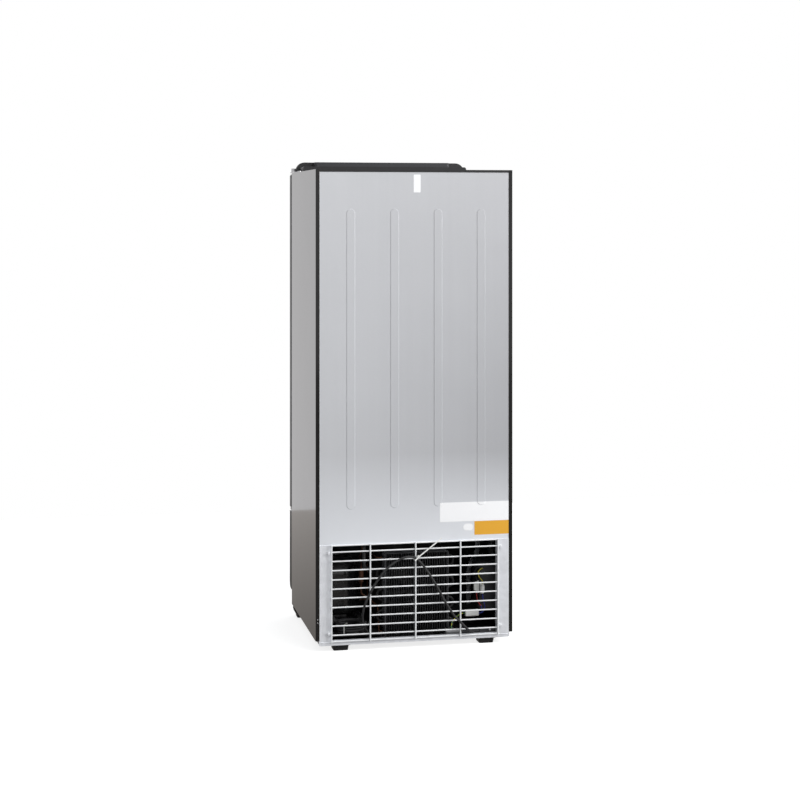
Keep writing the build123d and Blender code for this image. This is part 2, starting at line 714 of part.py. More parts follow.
SHELF_HALF = ROOM_HALF - SHELF_SIDE_GAP
SHELF_FRONT = FRONT + SHELF_FRONT_GAP + COLLAR_DEPTH
SHELF_BACK = ROOM_BACK - 8.0
STANDARD_YS = (SHELF_FRONT + 60, SHELF_BACK - 50)


def shelf_level(index):
    """Height of the underside of a shelf's rim."""
    return ROOM_FLOOR + SHELF_FIRST + index * SHELF_PITCH


def shelf_clips():
    """One clip under each corner of each shelf, seated on its standard."""
    clips = []
    for index in range(SHELF_COUNT):
        top = shelf_level(index) - FIT
        for y in STANDARD_YS:
            face = ROOM_HALF - STANDARD_SHEET
            outline = Polyline(
                (face, top), (face - CLIP_REACH, top), (face - CLIP_REACH, top - 3), (face, top - 12),
                close=True,
            )
            plane = Plane(origin=(0, y + STANDARD_WIDTH / 3, 0), x_dir=(1, 0, 0), z_dir=(0, -1, 0))
            clip = extrude(plane * make_face(outline), STANDARD_WIDTH * 2 / 3)
            clips += [clip, mirrored(clip)]
    return clips


def wire_shelf(level):
    """Welded wire shelf: a rim, two cross bars under it and the long wires on top."""
    outer = block((-SHELF_HALF, SHELF_HALF), (SHELF_FRONT, SHELF_BACK), (level, level + SHELF_RIM))
    inner = block(
        (-SHELF_HALF + SHELF_RIM, SHELF_HALF - SHELF_RIM),
        (SHELF_FRONT + SHELF_RIM, SHELF_BACK - SHELF_RIM),
        (level - 1, level + SHELF_RIM + 1),
    )
    outer = fillet(outer.edges().filter_by(Axis.Z), 10)
    rim = outer - inner
    depth = SHELF_BACK - SHELF_FRONT
    for share in (1 / 3, 2 / 3):
        y = SHELF_FRONT + depth * share
        rim += block((-SHELF_HALF + 1, SHELF_HALF - 1), (y - 2, y + 2), (level, level + 4))
    pitch = 2 * (SHELF_HALF - SHELF_RIM) / (SHELF_WIRES + 1)
    for index in range(SHELF_WIRES):
        x = -SHELF_HALF + SHELF_RIM + (index + 1) * pitch
        rim += block(
            (x - SHELF_WIRE / 2, x + SHELF_WIRE / 2),
            (SHELF_FRONT + 1, SHELF_BACK - 1),
            (level + 4 - 0.5, level + 4 + SHELF_WIRE - 0.5),
        )
    return rim


def light_strip():
    """Upright light bar inside the front corner on the hinge side."""
    y = FRONT + COLLAR_DEPTH + 2
    bar = block((ROOM_HALF - 12, ROOM_HALF - FIT), (y, y + 18), (ROOM_FLOOR + 60, COVER_FLOOR - 60))
    return fillet(bar.edges().filter_by(Axis.Z).sort_by(Axis.X)[:2], 5)


def evaporator_coil():
    """Finned block of the evaporator: a tube core with fins on both faces and end bends."""
    half = COIL_WIDTH / 2
    y = (COIL_BACK - COIL_DEPTH, COIL_BACK)
    z = (ROOM_TOP - FIT - COIL_HEIGHT, ROOM_TOP - FIT)
    core = block((-half, half), (y[0] + 30, y[1] - 30), (z[0] + 18, z[1] - 18))
    for index in range(int(COIL_WIDTH / COIL_FIN_PITCH) + 1):
        x = -half + index * COIL_FIN_PITCH
        core += block((x, x + FIN_SHEET), y, z)
    return core


def evaporator_cover():
    """Drip tray and air duct below the roof, with the fan's ring and a front grille."""
    outer = block((-COVER_HALF, COVER_HALF), (COVER_FRONT, COVER_BACK), (COVER_FLOOR, ROOM_TOP - FIT))
    outer = fillet(outer.faces().sort_by(Axis.Y)[0].edges().filter_by(Axis.X).sort_by(Axis.Z)[0], 20)
    inner = block(
        (-COVER_HALF + COVER_WALL, COVER_HALF - COVER_WALL),
        (COVER_FRONT + COVER_WALL, COVER_BACK - COVER_WALL),
        (COVER_FLOOR + COVER_WALL, ROOM_TOP + 1),
    )
    inner = fillet(inner.faces().sort_by(Axis.Y)[0].edges().filter_by(Axis.X).sort_by(Axis.Z)[0], 18)
    cover = outer - inner
    cover -= Pos(0, ROOM_FAN_Y, COVER_FLOOR - 1) * extrude(Circle(EVAPORATOR_FAN_RADIUS + FAN_TIP_GAP), 4)
    for index in range(5):
        plane = Plane(
            origin=(0, COVER_BACK + 1, COVER_FLOOR + 22 + index * 12), x_dir=(1, 0, 0), z_dir=(0, -1, 0)
        )
        cover -= extrude(plane * SlotOverall(COIL_WIDTH, 6), 4)
    for passage in passages:
        cover -= passage
    return cover


def fan_blade(radius, hub, blades, depth, shaft, shaft_reach):
    """Propeller fan about Z: a domed hub with twisted blades, pressed on its shaft."""
    body = extrude(Circle(hub), depth * 0.7)
    body = fillet(body.faces().sort_by(Axis.Z)[0].edges(), hub * 0.25)
    root_radius, tip_radius = hub - 2, radius
    root = (radius * 0.46, 2.4, 44)
    tip = (radius * 0.78, 1.6, 24)
    for index in range(blades):
        sections = []
        for place, (width, thickness, angle) in ((root_radius, root), (tip_radius, tip)):
            plane = Plane(origin=(place, 0, depth * 0.36), x_dir=(0, 1, 0), z_dir=(1, 0, 0))
            plane = plane.rotated((0, 0, angle))
            reach = min(width, depth / math.sin(math.radians(angle)) * 0.92)
            sections.append(plane * RectangleRounded(reach, thickness, thickness * 0.4))
        blade = loft(sections)
        body += Rot(0, 0, index * 360 / blades) * blade
    body &= Pos(0, 0, -depth) * extrude(Circle(radius), 3 * depth)
    bore = Pos(0, 0, hub * 0.3) * extrude(Circle(shaft), depth)
    body -= bore
    axle = Pos(0, 0, hub * 0.3) * extrude(Circle(shaft), shaft_reach - hub * 0.3)
    return body, axle


def fan_motor(radius, length, shaft_hole):
    """Round fan motor about Z with a stepped back and a bore for its shaft."""
    case = extrude(Circle(radius), length)
    case = fillet(case.edges(), radius * 0.12)
    case += Pos(0, 0, -radius * 0.2) * extrude(Circle(radius * 0.45), radius * 0.25)
    for index in range(6):
        groove = Rot(0, 0, index * 60) * Pos(radius, 0, length / 2) * Box(3, radius * 0.35, length * 0.5)
        case -= groove
    return case - Pos(0, 0, -radius) * extrude(Circle(shaft_hole), radius + length * 0.6)


# Machine compartment.

CONDENSER_MIDDLE = (CONDENSER_LEFT + CONDENSER_RIGHT) / 2
CONDENSER_BACK = REAR - CONDENSER_INSET
CONDENSER_FRONT = CONDENSER_BACK - CONDENSER_DEPTH
SHROUD_FRONT = CONDENSER_FRONT - FIT - SHROUD_DEPTH
FAN_LEVEL = TRAY_TOP + FIT + CONDENSER_HEIGHT / 2


def compressor_platform():
    """Folded plate that carries the compressor above the tray."""
    right = HALF - TRAY_INSET - TRAY_SHEET - FIT
    y = (REAR - PLATFORM_DEPTH, REAR - PLATFORM_REAR_INSET)
    top = block((PLATFORM_LEFT, right), y, (PLATFORM_TOP - TRAY_SHEET, PLATFORM_TOP))
    legs = [
        block((x, x + TRAY_SHEET), y, (TRAY_TOP + FIT, PLATFORM_TOP))
        for x in (PLATFORM_LEFT, right - TRAY_SHEET)
    ]
    plate = top + legs[0] + legs[1]
    corners = plate.edges().filter_by(Axis.Y).group_by(Axis.Z)[-1]
    plate = fillet([corners.sort_by(Axis.X)[0], corners.sort_by(Axis.X)[-1]], TRAY_SHEET * 0.9)
    post_x = HALF - SIDE_RETURN - FIT - POST_WIDTH
    return plate - block((post_x - 1, HALF), (REAR - POST_RETURN - 1, REAR), (0, DECK))


def compressor():
    """Welded two-part shell on a mounting plate, with its tube stubs."""
    middle = (COMPRESSOR_X, REAR - COMPRESSOR_INSET)
    low = PLATFORM_TOP + GROMMET_HEIGHT
    plan = Pos(*middle, low + 8) * RectangleRounded(COMPRESSOR_WIDTH, COMPRESSOR_LENGTH, COMPRESSOR_CORNER)
    shell = extrude(plan, COMPRESSOR_HEIGHT - 8)
    shell = fillet(shell.faces().sort_by(Axis.Z)[-1].edges(), 52)
    shell = fillet(shell.faces().sort_by(Axis.Z)[0].edges(), 24)
    rim = Pos(*middle, low + COMPRESSOR_HEIGHT * 0.5) * RectangleRounded(
        COMPRESSOR_WIDTH + 7, COMPRESSOR_LENGTH + 7, COMPRESSOR_CORNER + 3.5
    )
    shell += extrude(rim, 5)
    outline = RectangleRounded(COMPRESSOR_WIDTH + 10, COMPRESSOR_LENGTH + 16, 14)
    plate = Pos(*middle, low) * extrude(outline, 3)
    seat = RectangleRounded(COMPRESSOR_WIDTH * 0.6, COMPRESSOR_LENGTH * 0.6, 20)
    plate += Pos(*middle, low) * extrude(seat, 16)
    for x, y in grommet_places():
        plate -= Pos(x, y, low - 1) * extrude(Circle(GROMMET_RADIUS * 0.55), 6)
    for port, tube in ((SUCTION_PORT, SUCTION_TUBE), (DISCHARGE_PORT, DISCHARGE_TUBE)):
        shell += rod(port, (COMPRESSOR_X - COMPRESSOR_WIDTH / 4, port[1], port[2]), tube / 2 + 1)
    return shell + plate


def grommet_places():
    """Where the compressor's four rubber mounts stand."""
    x, y = COMPRESSOR_WIDTH / 2 - 10, COMPRESSOR_LENGTH / 2 - 6
    return [(COMPRESSOR_X + i * x, REAR - COMPRESSOR_INSET + j * y) for i in (-1, 1) for j in (-1, 1)]


def compressor_grommets():
    """Rubber mounts: a wide foot, and a neck through the mounting plate."""
    mounts = []
    for x, y in grommet_places():
        foot_part = extrude(Circle(GROMMET_RADIUS), GROMMET_HEIGHT - FIT)
        neck = Pos(0, 0, GROMMET_HEIGHT - 1) * extrude(Circle(GROMMET_RADIUS * 0.55 - FIT), 8)
        mounts.append(Pos(x, y, PLATFORM_TOP) * (foot_part + neck))
    return mounts


def compressor_terminal_cover():
    """Moulded cover of the compressor's terminals, on its far side."""
    low = PLATFORM_TOP + GROMMET_HEIGHT + 36
    y = REAR - COMPRESSOR_INSET - COMPRESSOR_LENGTH / 2
    box = block((COMPRESSOR_X - 32, COMPRESSOR_X + 32), (y - 30, y + 16), (low, low + 52))
    box = fillet(box.faces().sort_by(Axis.Y)[0].edges().filter_by(Axis.Z), 6)
    box = fillet(box.faces().sort_by(Axis.Y)[0].edges().filter_by(Axis.X), 4)
    plan = RectangleRounded(COMPRESSOR_WIDTH + 2 * FIT, COMPRESSOR_LENGTH + 2 * FIT, COMPRESSOR_CORNER + FIT)
    return box - Pos(COMPRESSOR_X, REAR - COMPRESSOR_INSET, low - 1) * extrude(plan, 60)


def condenser_fins():
    """Upright fins in two banks that clamp the tube, held by end plates and two rails."""
    z = (TRAY_TOP + FIT, TRAY_TOP + FIT + CONDENSER_HEIGHT)
    middle = (CONDENSER_FRONT + CONDENSER_BACK) / 2
    left, right = CONDENSER_LEFT, CONDENSER_RIGHT
    pack = block((left, right), (CONDENSER_FRONT, CONDENSER_BACK), (z[0], z[0] + FIN_SHEET))
    pack += block((left, right), (CONDENSER_FRONT, CONDENSER_BACK), (z[1] - FIN_SHEET, z[1]))
    ends = block((left - END_PLATE, left), (CONDENSER_FRONT, CONDENSER_BACK), z)
    ends += block((right, right + END_PLATE), (CONDENSER_FRONT, CONDENSER_BACK), z)
    for level in condenser_levels():
        start = (left - 2 * END_PLATE, middle, level)
        ends -= rod(start, (right + 2 * END_PLATE, middle, level), CONDENSER_TUBE / 2)
    pack += ends
    count = int((right - left) / FIN_PITCH)
    first = left + (right - left - (count - 1) * FIN_PITCH) / 2
    banks = ((CONDENSER_FRONT, middle - CONDENSER_TUBE / 2), (middle + CONDENSER_TUBE / 2, CONDENSER_BACK))
    for bank in banks:
        for index in range(count):
            x = first + index * FIN_PITCH
            pack += block((x - FIN_SHEET / 2, x + FIN_SHEET / 2), bank, z)
    return pack


def condenser_levels():
    """Heights of the condenser tube's runs, lowest first."""
    pitch = CONDENSER_HEIGHT / CONDENSER_RUNS
    return [TRAY_TOP + pitch * (index + 0.5) for index in range(CONDENSER_RUNS)]


def condenser_tube():
    """One tube that passes through the fins in level runs joined by return bends."""
    levels = condenser_levels()
    y = (CONDENSER_FRONT + CONDENSER_BACK) / 2
    bend = (levels[1] - levels[0]) / 2
    left, right = CONDENSER_LEFT - END_PLATE - 4, CONDENSER_RIGHT + END_PLATE + 4
    points = [(right, y, levels[0])]
    for index, level in enumerate(levels):
        far = left - bend if index % 2 == 0 else right + bend
        if index < len(levels) - 1:
            points += [(far, y, level), (far, y, levels[index + 1])]
    points.append((right, y, levels[-1]))
    return pipe(points, CONDENSER_TUBE, bend * 0.98)


def fan_shroud():
    """Sheet box in front of the condenser with the fan's ring and the motor's spider."""
    x = (CONDENSER_LEFT - END_PLATE, CONDENSER_RIGHT + END_PLATE)
    z = (TRAY_TOP + FIT, TRAY_TOP + FIT + CONDENSER_HEIGHT)
    outer = block(x, (SHROUD_FRONT, CONDENSER_FRONT - FIT), z)
    inner = block(
        (x[0] + SHROUD_SHEET, x[1] - SHROUD_SHEET),
        (SHROUD_FRONT + SHROUD_SHEET, CONDENSER_FRONT),
        (z[0] + SHROUD_SHEET, z[1] - SHROUD_SHEET),
    )
    ring_radius = FAN_RADIUS + FAN_TIP_GAP
    plane = Plane(origin=(CONDENSER_MIDDLE, SHROUD_FRONT + SHROUD_SHEET, FAN_LEVEL), z_dir=(0, -1, 0))
    collar = extrude(plane * Circle(ring_radius + SHROUD_SHEET), 14)
    shroud = outer - inner + collar
    shroud -= extrude(plane * Circle(ring_radius), 40, both=True) & block(
        x, (SHROUD_FRONT - 20, SHROUD_FRONT + SHROUD_SHEET + FIT), z
    )
    arm_plane = Plane(origin=(CONDENSER_MIDDLE, MOTOR_BACK, FAN_LEVEL), z_dir=(0, -1, 0))
    spider = extrude(arm_plane * (Circle(MOTOR_RADIUS * 0.9) - Circle(MOTOR_RADIUS * 0.5)), -2)
    arm_y = MOTOR_BACK + ARM_DIAMETER / 2 + FIT
    for angle in (45, 135, 225, 315):
        c, s = math.cos(math.radians(angle)), math.sin(math.radians(angle))
        near, far = MOTOR_RADIUS * 0.7, ring_radius + 9
        spider += pipe(
            [
                (CONDENSER_MIDDLE + near * c, arm_y, FAN_LEVEL + near * s),
                (CONDENSER_MIDDLE + far * c, arm_y, FAN_LEVEL + far * s),
                (CONDENSER_MIDDLE + far * c, SHROUD_FRONT + SHROUD_SHEET / 2, FAN_LEVEL + far * s),
            ],
            ARM_DIAMETER, 8,
        )
    return shroud + spider


FAN_BACK = SHROUD_FRONT - 2.0
FAN_FRONT = FAN_BACK - FAN_DEPTH
MOTOR_BACK = FAN_FRONT - 8.0


def condensate_pan():
    """Open pan that catches the drain water."""
    left = DRAIN_X + 30
    x = (left - 18, left + 160)
    y = (DRAIN_Y - 70, DRAIN_Y + 60)
    z = (TRAY_TOP + FIT, TRAY_TOP + 34)
    pan = fillet(block(x, y, z).edges().filter_by(Axis.Z), 12)
    pan = fillet(pan.faces().sort_by(Axis.Z)[0].edges(), 5)
    hollow = block((x[0] + 2, x[1] - 2), (y[0] + 2, y[1] - 2), (z[0] + 2, z[1] + 1))
    hollow = fillet(hollow.edges().filter_by(Axis.Z), 10)
    return pan - hollow


DISCHARGE_TUBE = 6.0
DISCHARGE_PORT = (PORT_X, REAR - COMPRESSOR_INSET, SIDE_BOTTOM + 62)


def discharge_line():
    """Hot gas tube from the compressor to the top run of the condenser."""
    y = (CONDENSER_FRONT + CONDENSER_BACK) / 2
    top = condenser_levels()[-1]
    end_x = CONDENSER_RIGHT + END_PLATE + 4 + FIT
    points = [
        DISCHARGE_PORT,
        (DISCHARGE_PORT[0] - 24, DISCHARGE_PORT[1], DISCHARGE_PORT[2]),
        (DISCHARGE_PORT[0] - 24, DISCHARGE_PORT[1], top - 40),
        (end_x + 18, y - 50, top),
        (end_x + 18, y, top),
        (end_x, y, top),
    ]
    return pipe(points, DISCHARGE_TUBE, [12, 24, 20, 12 * 0.6])


DRIER_X = 147.0
DRIER_Y = REAR - 84.0
DRIER_LOW = SIDE_BOTTOM + 138.0
DRIER_LENGTH = 58.0
DRIER_RADIUS = 8.0
LIQUID_TUBE = 5.0
CAPILLARY = 2.4


def filter_drier():
    """Copper drier with its inlet from the condenser and its capillary to the suction line."""
    profile = Polyline(
        (0, 0), (LIQUID_TUBE / 2, 0), (LIQUID_TUBE / 2, 4),
        (DRIER_RADIUS, 14), (DRIER_RADIUS, DRIER_LENGTH - 12),
        (CAPILLARY, DRIER_LENGTH - 3), (CAPILLARY, DRIER_LENGTH), (0, DRIER_LENGTH), close=True,
    )
    drier = Pos(DRIER_X, DRIER_Y, DRIER_LOW) * revolve(Plane.XZ * make_face(profile), Axis.Z)
    y = (CONDENSER_FRONT + CONDENSER_BACK) / 2
    start_x = CONDENSER_RIGHT + END_PLATE + 4 + FIT
    low = condenser_levels()[0]
    inlet = pipe(
        [
            (start_x, y, low), (start_x + 10, y, low), (start_x + 10, y - 18, DRIER_LOW - 62),
            (DRIER_X, DRIER_Y, DRIER_LOW - 22), (DRIER_X, DRIER_Y, DRIER_LOW + 1),
        ],
        LIQUID_TUBE, [5, 20, 10],
    )
    meet = SUCTION_X + SUCTION_TUBE / 2 + CAPILLARY / 2 + FIT
    capillary = pipe(
        [
            (DRIER_X, DRIER_Y, DRIER_LOW + DRIER_LENGTH - 1),
            (DRIER_X, DRIER_Y, DRIER_LOW + DRIER_LENGTH + 16),
            (meet + 6, SUCTION_Y - 20, DECK - 44), (meet, SUCTION_Y, DECK - 24), (meet, SUCTION_Y, DECK - 6),
        ],
        CAPILLARY, [8, 14, 8],
    )
    return drier + inlet + capillary


CONTROL_BACK = REAR - 62.0
CONTROL_LEFT = -213.0
CONTROL_LOW = SIDE_BOTTOM + 52.0
CONTROL_HIGH = SIDE_BOTTOM + 196.0


def control_box():
    """Moulded box of the controls on the left side panel, with a stepped lid."""
    x = (-INSIDE, CONTROL_LEFT)
    body = block(x, (CONTROL_BACK - 96, CONTROL_BACK - 6), (CONTROL_LOW, CONTROL_HIGH))
    body = fillet(body.edges().filter_by(Axis.Y).group_by(Axis.X)[-1], 6)
    lid = block((x[0] + 3, x[1] - 3), (CONTROL_BACK - 7, CONTROL_BACK), (CONTROL_LOW + 3, CONTROL_HIGH - 3))
    lid = fillet(lid.edges().filter_by(Axis.Y).group_by(Axis.X)[-1], 5)
    rib_x = CONTROL_LEFT - 62
    rib_z = (CONTROL_LOW + 12, CONTROL_HIGH - 12)
    rib = block((rib_x, rib_x + 8), (CONTROL_BACK - 1, CONTROL_BACK + 3), rib_z)
    return body + lid + rib


TERMINAL_LEFT, TERMINAL_RIGHT = -146.0, -100.0
TERMINAL_Y = REAR - 44.0
TERMINAL_DEPTH = 20.0
TERMINAL_HEIGHT = 20.0
TERMINAL_WAYS = 4
TERMINAL_RIB = 2.0
SCREW_STANDING = 3.0


def terminal_strip():
    """Low earth strip with ribs between its screws."""
    high = TRAY_TOP + TERMINAL_HEIGHT
    y = (TERMINAL_Y, TERMINAL_Y + TERMINAL_DEPTH)
    strip = block((TERMINAL_LEFT, TERMINAL_RIGHT), y, (TRAY_TOP + FIT, high))
    pitch = (TERMINAL_RIGHT - TERMINAL_LEFT - TERMINAL_RIB) / TERMINAL_WAYS
    for index in range(TERMINAL_WAYS + 1):
        x = TERMINAL_LEFT + index * pitch
        strip += block((x, x + TERMINAL_RIB), y, (high - 1, high + SCREW_STANDING + 2))
    for index in range(TERMINAL_WAYS):
        x = TERMINAL_LEFT + TERMINAL_RIB / 2 + (index + 0.5) * pitch
        strip += Pos(x, TERMINAL_Y + TERMINAL_DEPTH / 2, high - 1) * extrude(Circle(3.2), SCREW_STANDING + 1)
    return strip


def wire_connectors():
    """Two insulated push-on connectors on the control box and one plug-in connector."""
    pieces = []
    rear = Plane(origin=(-219, CONTROL_BACK + FIT, SIDE_BOTTOM + 120), x_dir=(1, 0, 0), z_dir=(0, 1, 0))
    side_place = (CONTROL_LEFT + FIT, CONTROL_BACK - 14, SIDE_BOTTOM + 124)
    side = Plane(origin=side_place, x_dir=(0, 1, 0), z_dir=(1, 0, 0))
    for plane in (rear, side):
        mouth = plane * RectangleRounded(11, 34, 4)
        pieces.append(loft([mouth, plane.offset(15) * RectangleRounded(9, 24, 4)]))
    plug = block((-206, -166), (REAR - 62, REAR - 48), (SIDE_BOTTOM + 40, SIDE_BOTTOM + 59))
    plug = fillet(plug.edges().filter_by(Axis.X), 3)
    pieces.append(plug)
    return pieces


WIRE = 2.8


def earth_wire():
    """Earth wire from the strip up to the plug-in connector."""
    y = REAR - 55
    top = TRAY_TOP + TERMINAL_HEIGHT + SCREW_STANDING
    points = [
        (TERMINAL_RIGHT - 17, TERMINAL_Y + 12, top + 0.8), (TERMINAL_RIGHT - 22, y + 9, top + 17),
        (-140, y + 3, top + 32), (-153, y, SIDE_BOTTOM + 48.5), (-166 + FIT, y, SIDE_BOTTOM + 49),
    ]
    return pipe(points, WIRE)


def control_wires():
    """Supply wires from the push-on connectors down to the plug-in connector."""
    wires = []
    routes = (
        (
            (-219, -53.5, 104.7), (-220, -52, 88), (-225, -51, 72), (-226, -53, 57),
            (-217, -55, 48), (-206.7, -55, 46),
        ),
        (
            (-206, -76, 108.7), (-206, -74, 91), (-209, -64, 76), (-218, -55, 65),
            (-214, -55, 54.5), (-206.7, -55, 54),
        ),
    )
    for route in routes:
        points = [(x, REAR + y, SIDE_BOTTOM + z) for x, y, z in route]
        wires.append(pipe(points, WIRE))
    return wires


# Rear grille.

def level_wire(z, left, right, radius):
    """A level wire of the grille."""
    y = REAR + GRILLE_STANDOFF + LEVEL_WIRE / 2
    return rod((left, y, z), (right, y, z), radius)


def rear_grille():
    """Welded wire guard; one wire is left out of the hinge-side cell as a hand hole."""
    levels = [GRILLE_FIRST_LEVEL + index * GRILLE_PITCH for index in range(GRILLE_LEVELS)]
    y = REAR + GRILLE_STANDOFF + LEVEL_WIRE + UPRIGHT_WIRE / 2 - WELD
    uprights = [-GRILLE_HALF_WIDTH, -GRILLE_INNER_UPRIGHT, 0, GRILLE_INNER_UPRIGHT, GRILLE_HALF_WIDTH]
    low, high = SIDE_BOTTOM + GRILLE_BOTTOM, SIDE_BOTTOM + GRILLE_TOP
    grille = level_wire(low, -GRILLE_HALF_WIDTH, GRILLE_HALF_WIDTH, LEVEL_WIRE / 2)
    grille += level_wire(high, -GRILLE_HALF_WIDTH, GRILLE_HALF_WIDTH, LEVEL_WIRE / 2)
    for index, level in enumerate(levels):
        right = GRILLE_INNER_UPRIGHT if index == SERVICE_LEVEL else GRILLE_HALF_WIDTH
        grille += level_wire(SIDE_BOTTOM + level, -GRILLE_HALF_WIDTH, right, LEVEL_WIRE / 2)
    for x in uprights:
        grille += rod((x, y, low - LEVEL_WIRE / 2), (x, y, high + LEVEL_WIRE / 2), UPRIGHT_WIRE / 2)
    for x, z in ear_places():
        side = 1 if x > 0 else -1
        plane = Plane(origin=(x, REAR + GRILLE_STANDOFF, z), x_dir=(1, 0, 0), z_dir=(0, 1, 0))
        ear = extrude(plane * Circle(EAR_RADIUS), EAR_SHEET)
        tongue = block(
            (min(x, x - side * EAR_OFFSET), max(x, x - side * EAR_OFFSET)),
            (REAR + GRILLE_STANDOFF, REAR + GRILLE_STANDOFF + LEVEL_WIRE),
            (z - 2, z + 2),
        )
        grille += ear + tongue
        grille -= extrude(plane * Circle(EAR_HOLE), LEVEL_WIRE + 2)
    return grille


def ear_places():
    """Where the grille is screwed to the posts."""
    x = GRILLE_HALF_WIDTH + EAR_OFFSET
    return [(side * x, SIDE_BOTTOM + z) for side in (-1, 1) for z in (EAR_LOW, EAR_HIGH)]


def grille_screws():
    """Pan-head screws through the ears."""
    screws = []
    for x, z in ear_places():
        y = REAR + GRILLE_STANDOFF + LEVEL_WIRE + FIT
        head = extrude(Plane(origin=(x, y, z), z_dir=(0, 1, 0)) * Circle(5.0), 2.8)
        head = fillet(head.faces().sort_by(Axis.Y)[-1].edges(), 1.6)
        shank = rod((x, y + 1, z), (x, REAR + FIT, z), EAR_HOLE - 2 * FIT)
        screws.append(head + shank)
    return screws


# Mains lead: every point is (x, depth behind the cabinet's rear plane, height).

CLAMP_X = -214.0
lead_route = [
    (-200, -10.5, 38.5), (-184, -10.5, 38.5), (-171, -1, 40), (-160, 12.5, 46.5), (-149, 16.5, 57),
    (-135, 16.5, 72), (-114, 16, 92), (-89, 15, 132), (-67, 14.5, 173), (-43, 14.5, 214), (-22, 14.5, 244),
    (1, 14.5, 270), (27, 14.5, 273.5), (52, 15, 266), (89, 15.5, 242), (118, 16, 206), (141, 16.5, 168),
    (157, 15, 131), (160.5, 6, 99), (154, -6, 72), (143.5, -20, 52.5), (136.5, -38, 45.8), (136.5, -57, 45.8),
]
LAYER_STEP = LEAD_DIAMETER + 0.5
COIL_LEVEL_LOW = PLATFORM_TOP + SOFT_GAP + LEAD_DIAMETER / 2
TAIL_TURN = 0.25
TAIL_SPREAD = 9.0
TAIL_DROP = 8.6


def mains_lead():
    """Free stretch of the lead, from its clamp up over the grille and in through the hand hole."""
    points = [(x, REAR + y, z) for x, y, z in lead_route]
    radii = bend_radii(points, 3 * LEAD_DIAMETER)
    lead = pipe(points, LEAD_DIAMETER, radii)
    runs = [(Vector(*b) - Vector(*a)).length for a, b in zip(points, points[1:])]
    print("lead radii", [round(r) for r in radii], "runs", [round(r) for r in runs])
    path = FilletPolyline(*points, radius=radii)
    volume_length = lead.volume / (math.pi * LEAD_DIAMETER**2 / 4)
    print("lead length", round(path.length), "volume by length", round(volume_length))
    return lead


def coil_point(turn):
    """Centre of the coiled tube after a number of turns, from the bottom outer loop upwards."""
    last = COIL_LAYERS * TURNS_PER_LAYER
    inside = min(turn, last)
    phase = (inside / TURNS_PER_LAYER) % 2
    radius = COIL_RADIUS - COIL_STEP * TURNS_PER_LAYER * (phase if phase <= 1 else 2 - phase)
    level = 0.0
    for layer in range(1, COIL_LAYERS):
        start = layer * TURNS_PER_LAYER - 0.25
        level += LAYER_STEP * min(max((inside - start) / 0.5, 0), 1)
    if turn > last:
        share = (turn - last) / TAIL_TURN
        radius += TAIL_SPREAD * share
        level -= TAIL_DROP * share
    angle = math.pi + 2 * math.pi * turn
    x = COIL_X + radius * math.cos(angle)
    y = REAR - COIL_INSET + radius * math.sin(angle)
    return Vector(x, y, COIL_LEVEL_LOW + level)


def biarc(p0, t0, p1, t1):
    """Two tangent arcs between two points with given directions."""
    chord, both = p1 - p0, t0 + t1
    spread = 2 * (1 - t0.dot(t1))
    reach = chord.dot(both)
    d = (-reach + math.sqrt(reach**2 + spread * chord.dot(chord))) / spread
    middle = (p0 + p1 + (t0 - t1) * d) * 0.5
    direction = ((p1 - t1 * d) - (p0 + t0 * d)).normalized()
    return TangentArc(p0, middle, tangent=t0), TangentArc(middle, p1, tangent=direction)


def lead_coil():
    """The put-away lead: piled loops in one unbroken tube with straight ends."""
    step = 0.25
    total = COIL_LAYERS * TURNS_PER_LAYER + TAIL_TURN
    count = round(total / step)
    points = [coil_point(index * step) for index in range(count + 1)]
    small = 0.02
    directions = []
    for index in range(count + 1):
        before = coil_point(max(index * step - small, 0))
        after = coil_point(min(index * step + small, total))
        directions.append((after - before).normalized())
    directions[0] = Vector(0, -1, 0)
    directions[-1] = Vector(1, 0, 0)
    edges = [Line(points[0] - directions[0] * LEAD_DIAMETER, points[0])]
    for index in range(count):
        edges += biarc(points[index], directions[index], points[index + 1], directions[index + 1])
    edges.append(Line(points[-1], points[-1] + directions[-1] * LEAD_DIAMETER))
    path = Wire([edge for curve in edges for edge in curve.edges()])
    start = Plane(origin=points[0] - directions[0] * LEAD_DIAMETER, z_dir=directions[0])
    coil = sweep(start * Circle(LEAD_DIAMETER / 2), path=path)
    samples = [coil_point(index / 60) for index in range(int(total * 60) + 1)]
    least = min(
        (a - b).length for i, a in enumerate(samples) for b in samples[i + 30:]
    )
    print("coil gap to itself", round(least - LEAD_DIAMETER, 2), "length", round(path.length))
    return coil


def mains_plug():
    """Moulded plug lying beside the coil: ribbed boot, body and two pins."""
    end = coil_point(COIL_LAYERS * TURNS_PER_LAYER + TAIL_TURN) + Vector(LEAD_DIAMETER, 0, 0)
    profile = Polyline(
        (0, 0), (0, 4.6), (5, 4.8), (24, 8), (30, 8), (30, 14), (36, 17.4), (62, 17.4), (66, 15), (66, 0),
        close=True,
    )
    body = revolve(make_face(profile), Axis.X)
    for index in range(4):
        groove = ring(12, 5.6 + index * 0.7, (0, 0, 0), 2)
        body -= Pos(8 + index * 4.6, 0, 0) * Rot(0, 90, 0) * groove
    for side in (-1, 1):
        body += rod((65, side * 9.5, 0), (84, side * 9.5, 0), 2.4)
    return Pos(end.X, end.Y, end.Z) * body


